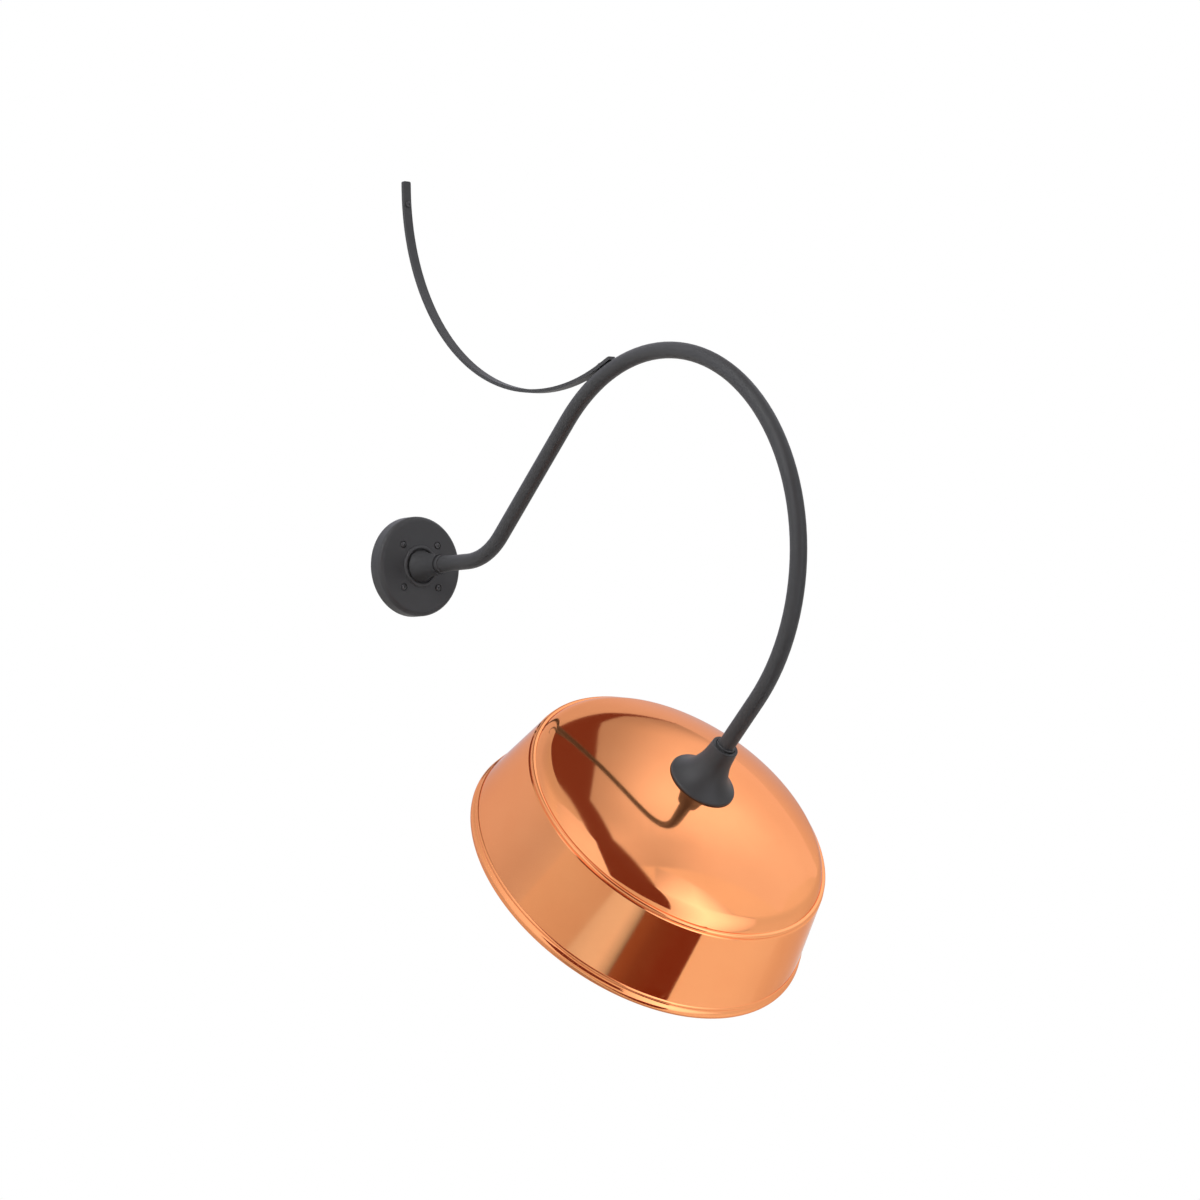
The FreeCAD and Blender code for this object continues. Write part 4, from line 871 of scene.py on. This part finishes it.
def leaning_panel(name, columns, heights, layer):
    """A pale panel with leaning sides; a point's level is its column's level times its height's share."""
    slant = 0.446
    card(name, PALE, [
        [(level * share, toward_wall(x - slant * y, y)) for y, share in heights] for x, level in columns
    ], layer)


def smooth(value):
    """A smooth step from 0 to 1."""
    value = min(max(value, 0.0), 1.0)
    return value * value * (3.0 - 2.0 * value)


def pool(x, y, centre, spread):
    """A round fall-off about a centre."""
    return math.exp(-((x - centre[0]) / spread[0]) ** 2 - ((y - centre[1]) / spread[1]) ** 2)


def overhead_level(x, y, edge_y, gap):
    """The overhead panel's glow: dim beside the dark gap, bright in one pool, faint in a patch low down."""
    beside = 0.5 + 0.5 * smooth((-0.3 - edge_y) / 0.4)
    level = beside + (1.06 - beside) * smooth(gap / 0.42)
    bright = 0.40 * pool(x, y, (0.85, -0.35), (0.67, 0.35))
    faint = 0.38 * pool(x, y, (0.30, -0.86), (0.27, 0.27))
    return level + bright - faint


def hang_cards():
    """What the copper mirrors: a dark gap and foreground, bright panels and a dim patch low at the back."""
    left = [toward_wall(-0.37, -0.22), toward_wall(-0.95, 1.12), toward_wall(-0.86, 1.40)]
    right = [toward_wall(0.36, 0.04), toward_wall(-0.12, 1.14), toward_wall(-0.28, 1.48)]
    left += [toward_ceiling(*p) for p in (
        (-0.02, -0.62), (0.025, -0.27), (0.19, -0.065), (0.345, 0.135), (0.46, 0.28), (0.565, 0.40),
        (0.80, 0.56), (1.30, 0.795))]
    right += [toward_ceiling(*p) for p in (
        (-0.16, -0.60), (-0.06, -0.22), (0.0, 0.05), (0.14, 0.26), (0.28, 0.35), (0.43, 0.43),
        (0.72, 0.58), (1.30, 0.80))]
    card("dark_gap", DARK_TONE, [[(1.0, a), (1.0, b)] for a, b in zip(left, right)])

    edge = ((0.06, -0.94), (-0.02, -0.62), (0.0, -0.44), (0.025, -0.27), (0.10, -0.17), (0.19, -0.065),
            (0.345, 0.135), (0.565, 0.40), (0.80, 0.56), (1.30, 0.795))
    gaps = (0.0, 0.06, 0.12, 0.20, 0.28, 0.38, 0.5, 0.7, 0.9, 1.2, 1.5, 2.4)
    rows = [[(x + gap, y - gap * 0.25, y, gap) for gap in gaps] for x, y in edge]
    card("overhead_panel", PALE, [
        [(overhead_level(x, y, edge_y, gap), toward_ceiling(x, y)) for x, y, edge_y, gap in row]
        for row in rows
    ], layer=1)

    columns = ((-0.95, 1.1), (-0.3, 1.1), (0.08, (0.20, 0.055, 0.02)), (0.33, (0.29, 0.12, 0.06)))
    card("dark_foreground", DARK_TONE, [
        [(level, toward_wall(x, y)) for x, level in columns] for y in (-0.85, -1.7, -2.6, -3.5, -7.0)])
    columns = ((0.33, 0.24), (0.40, 0.75), (0.52, 1.10), (0.72, 1.05), (1.0, 0.85))
    card("foreground_edge", BEIGE, [
        [(level, toward_wall(x, y)) for x, level in columns] for y in (-0.75, -1.2, -2.0, -7.0)])

    leaning_panel(
        "bright_panel",
        ((-0.44, 1.10), (-0.75, 1.75), (-1.10, 2.30), (-1.60, 1.95), (-2.20, 1.55), (-3.00, 1.30),
         (-4.50, 1.0)),
        ((-1.7, 0.65), (-1.1, 0.88), (-0.6, 0.95), (0.0, 1.0), (0.6, 1.0), (1.05, 1.0), (1.5, 0.6)), layer=2)
    leaning_panel(
        "camera_side_panel", ((0.36, 1.25), (0.7, 1.20), (1.3, 1.12), (2.4, 0.98)),
        ((-0.4, 0.8), (0.2, 1.0), (0.8, 1.0), (1.5, 0.95), (2.6, 0.9)), layer=3)

    around = ((0, 0.0), (35, 0.6), (60, 1.0), (90, 1.0), (150, 1.0), (190, 1.0), (215, 0.8), (238, 0.0))
    below = ((2, 0.0), (22, 0.25), (36, 0.40), (47, 0.95), (64, 1.0), (80, 0.6), (88, 0.1))
    card("low_back", (1.0, 0.97, 0.95), [
        [(0.78 + 0.0035 * fall - 0.56 * dip * deep, toward(turn, -fall)) for turn, deep in around]
        for fall, dip in below
    ], layer=4)


def blend_levels(tree, source, levels):
    """A smooth light level for a value from -1 to 1, as (value, level or colour) steps."""
    spread = add(tree, "ShaderNodeMapRange", {"Value": source, "From Min": -1.0, "From Max": 1.0})
    ramp = add(tree, "ShaderNodeValToRGB", {"Fac": spread.outputs["Result"]})
    ramp.color_ramp.interpolation = "EASE"
    elements = ramp.color_ramp.elements
    while len(elements) < len(levels):
        elements.new(0.5)
    for element, (value, level) in zip(elements, levels):
        element.position = (value + 1) / 2
        element.color = (*level, 1.0) if isinstance(level, tuple) else (level, level, level, 1.0)
    return ramp.outputs["Color"]


def hang_wall():
    """The pale wall the lamp hangs on, seen by the camera from the room side only."""
    material, tree, out = bare_material("wall")
    glow = add(tree, "ShaderNodeEmission", {"Color": WHITE})
    clear = tree.nodes.new("ShaderNodeBsdfTransparent")
    side = tree.nodes.new("ShaderNodeNewGeometry")
    link(tree, mix_shaders(tree, side.outputs["Backfacing"], glow.outputs["Emission"], clear.outputs["BSDF"]),
         out)
    half, y = ROOM_HALF, 0.0002
    corners = [(-half, y, -half), (half, y, -half), (half, y, half), (-half, y, half)]
    obj = mesh_object("wall", corners, [(0, 1, 2, 3)], material)
    hide_from(obj, "diffuse", "glossy", "shadow", "transmission")


def lay_floor(z):
    """A floor that is white to the camera, clear to mirrors and matt to all other light."""
    material, tree, shader = new_material("floor")
    shader.inputs["Base Color"].default_value = (0.9, 0.9, 0.9, 1.0)
    shader.inputs["Roughness"].default_value = 0.9
    path = tree.nodes.new("ShaderNodeLightPath").outputs
    glow = add(tree, "ShaderNodeEmission", {"Color": WHITE})
    clear = tree.nodes.new("ShaderNodeBsdfTransparent")
    seen = mix_shaders(tree, path["Is Camera Ray"], shader.outputs["BSDF"], glow.outputs["Emission"])
    link(tree, mix_shaders(tree, path["Is Glossy Ray"], seen, clear.outputs["BSDF"]),
         tree.nodes["Material Output"].inputs["Surface"])
    half = ROOM_HALF
    corners = [(-half, -half, z), (half, -half, z), (half, half, z), (-half, half, z)]
    floor = mesh_object("floor", corners, [(0, 1, 2, 3)], material)


def light_room(scene):
    """White for the camera, a dim sky for matt surfaces, and for mirrors a level by height and by depth."""
    world = bpy.data.worlds.new("studio")
    scene.world = world
    world.use_nodes = True
    tree = world.node_tree
    sky = tree.nodes["Background"]
    sky.inputs["Color"].default_value = WHITE
    sky.inputs["Strength"].default_value = 0.24
    path = tree.nodes.new("ShaderNodeLightPath").outputs
    place = tree.nodes.new("ShaderNodeTexCoord")
    split = add(tree, "ShaderNodeSeparateXYZ", {"Vector": place.outputs["Generated"]}).outputs
    by_height = blend_levels(tree, split["Z"], [
        (-1.0, 0.96), (-0.6, 0.93), (-0.3, 0.84), (0.1, 0.80), (0.5, 1.02), (0.8, 0.92), (1.0, 0.66)])
    by_depth = blend_levels(tree, split["Y"], [
        (-1.0, 1.0), (-0.3, 1.0), (0.1, 0.92), (0.5, (0.76, 0.76, 0.84)), (1.0, (0.74, 0.74, 0.85))])
    both = add(tree, "ShaderNodeVectorMath", {0: by_height, 1: by_depth}, operation="MULTIPLY")
    mirrored = add(tree, "ShaderNodeBackground", {"Color": both.outputs["Vector"], "Strength": 1.08})
    white = add(tree, "ShaderNodeBackground", {"Color": WHITE})
    lit = mix_shaders(tree, path["Is Glossy Ray"], sky.outputs["Background"], mirrored.outputs["Background"])
    link(tree, mix_shaders(tree, path["Is Camera Ray"], lit, white.outputs["Background"]),
         tree.nodes["World Output"].inputs["Surface"])


class SCONCE_OT_studio(bpy.types.Operator):
    """Lay the floor, light the room, hang the cards, the wall and the key light, and set the camera"""

    bl_idname = "sconce.studio"
    bl_label = "Studio"

    def execute(self, context):
        sizes = context.scene.sconce_studio
        context.scene.view_settings.view_transform = "Standard"
        lay_floor(sizes.floor_height)
        light_room(context.scene)
        hang_cards()
        hang_wall()
        soft_light("key", (-3.2, -0.9, 2.5), (0, -0.4, 0), 1.8, sizes.key)
        make_camera()
        return {"FINISHED"}


class SCONCE_PT_panel(bpy.types.Panel):
    """Lists the sizes and the steps that dress the sconce"""

    bl_idname = "SCONCE_PT_panel"
    bl_label = "Gooseneck sconce"
    bl_space_type = "VIEW_3D"
    bl_region_type = "UI"
    bl_category = "Sconce"

    def draw(self, context):
        layout = self.layout
        for settings in SETTINGS:
            box = layout.box()
            values = getattr(context.scene, settings)
            for name in values.__annotations__:
                box.prop(values, name)
        for operator in STEPS:
            layout.operator(operator.bl_idname)


STEPS = (SCONCE_OT_coat, SCONCE_OT_shade, SCONCE_OT_wall_screws, SCONCE_OT_metalwork, SCONCE_OT_socket,
         SCONCE_OT_studio)
SETTINGS = {"sconce_shade": ShadeSizes, "sconce_coat": CoatSizes, "sconce_hardware": HardwareSizes,
            "sconce_studio": StudioSizes}
CLASSES = (*SETTINGS.values(), *STEPS, SCONCE_PT_panel)


def register():
    for cls in CLASSES:
        bpy.utils.register_class(cls)
    for name, cls in SETTINGS.items():
        setattr(bpy.types.Scene, name, bpy.props.PointerProperty(type=cls))


def unregister():
    for name in SETTINGS:
        delattr(bpy.types.Scene, name)
    for cls in reversed(CLASSES):
        bpy.utils.unregister_class(cls)


def main():
    register()
    bpy.ops.sconce.coat()
    bpy.ops.sconce.shade()
    bpy.ops.sconce.wall_screws()
    bpy.ops.sconce.metalwork()
    bpy.ops.sconce.socket()
    bpy.ops.sconce.studio()


if __name__ == "__main__":
    main()
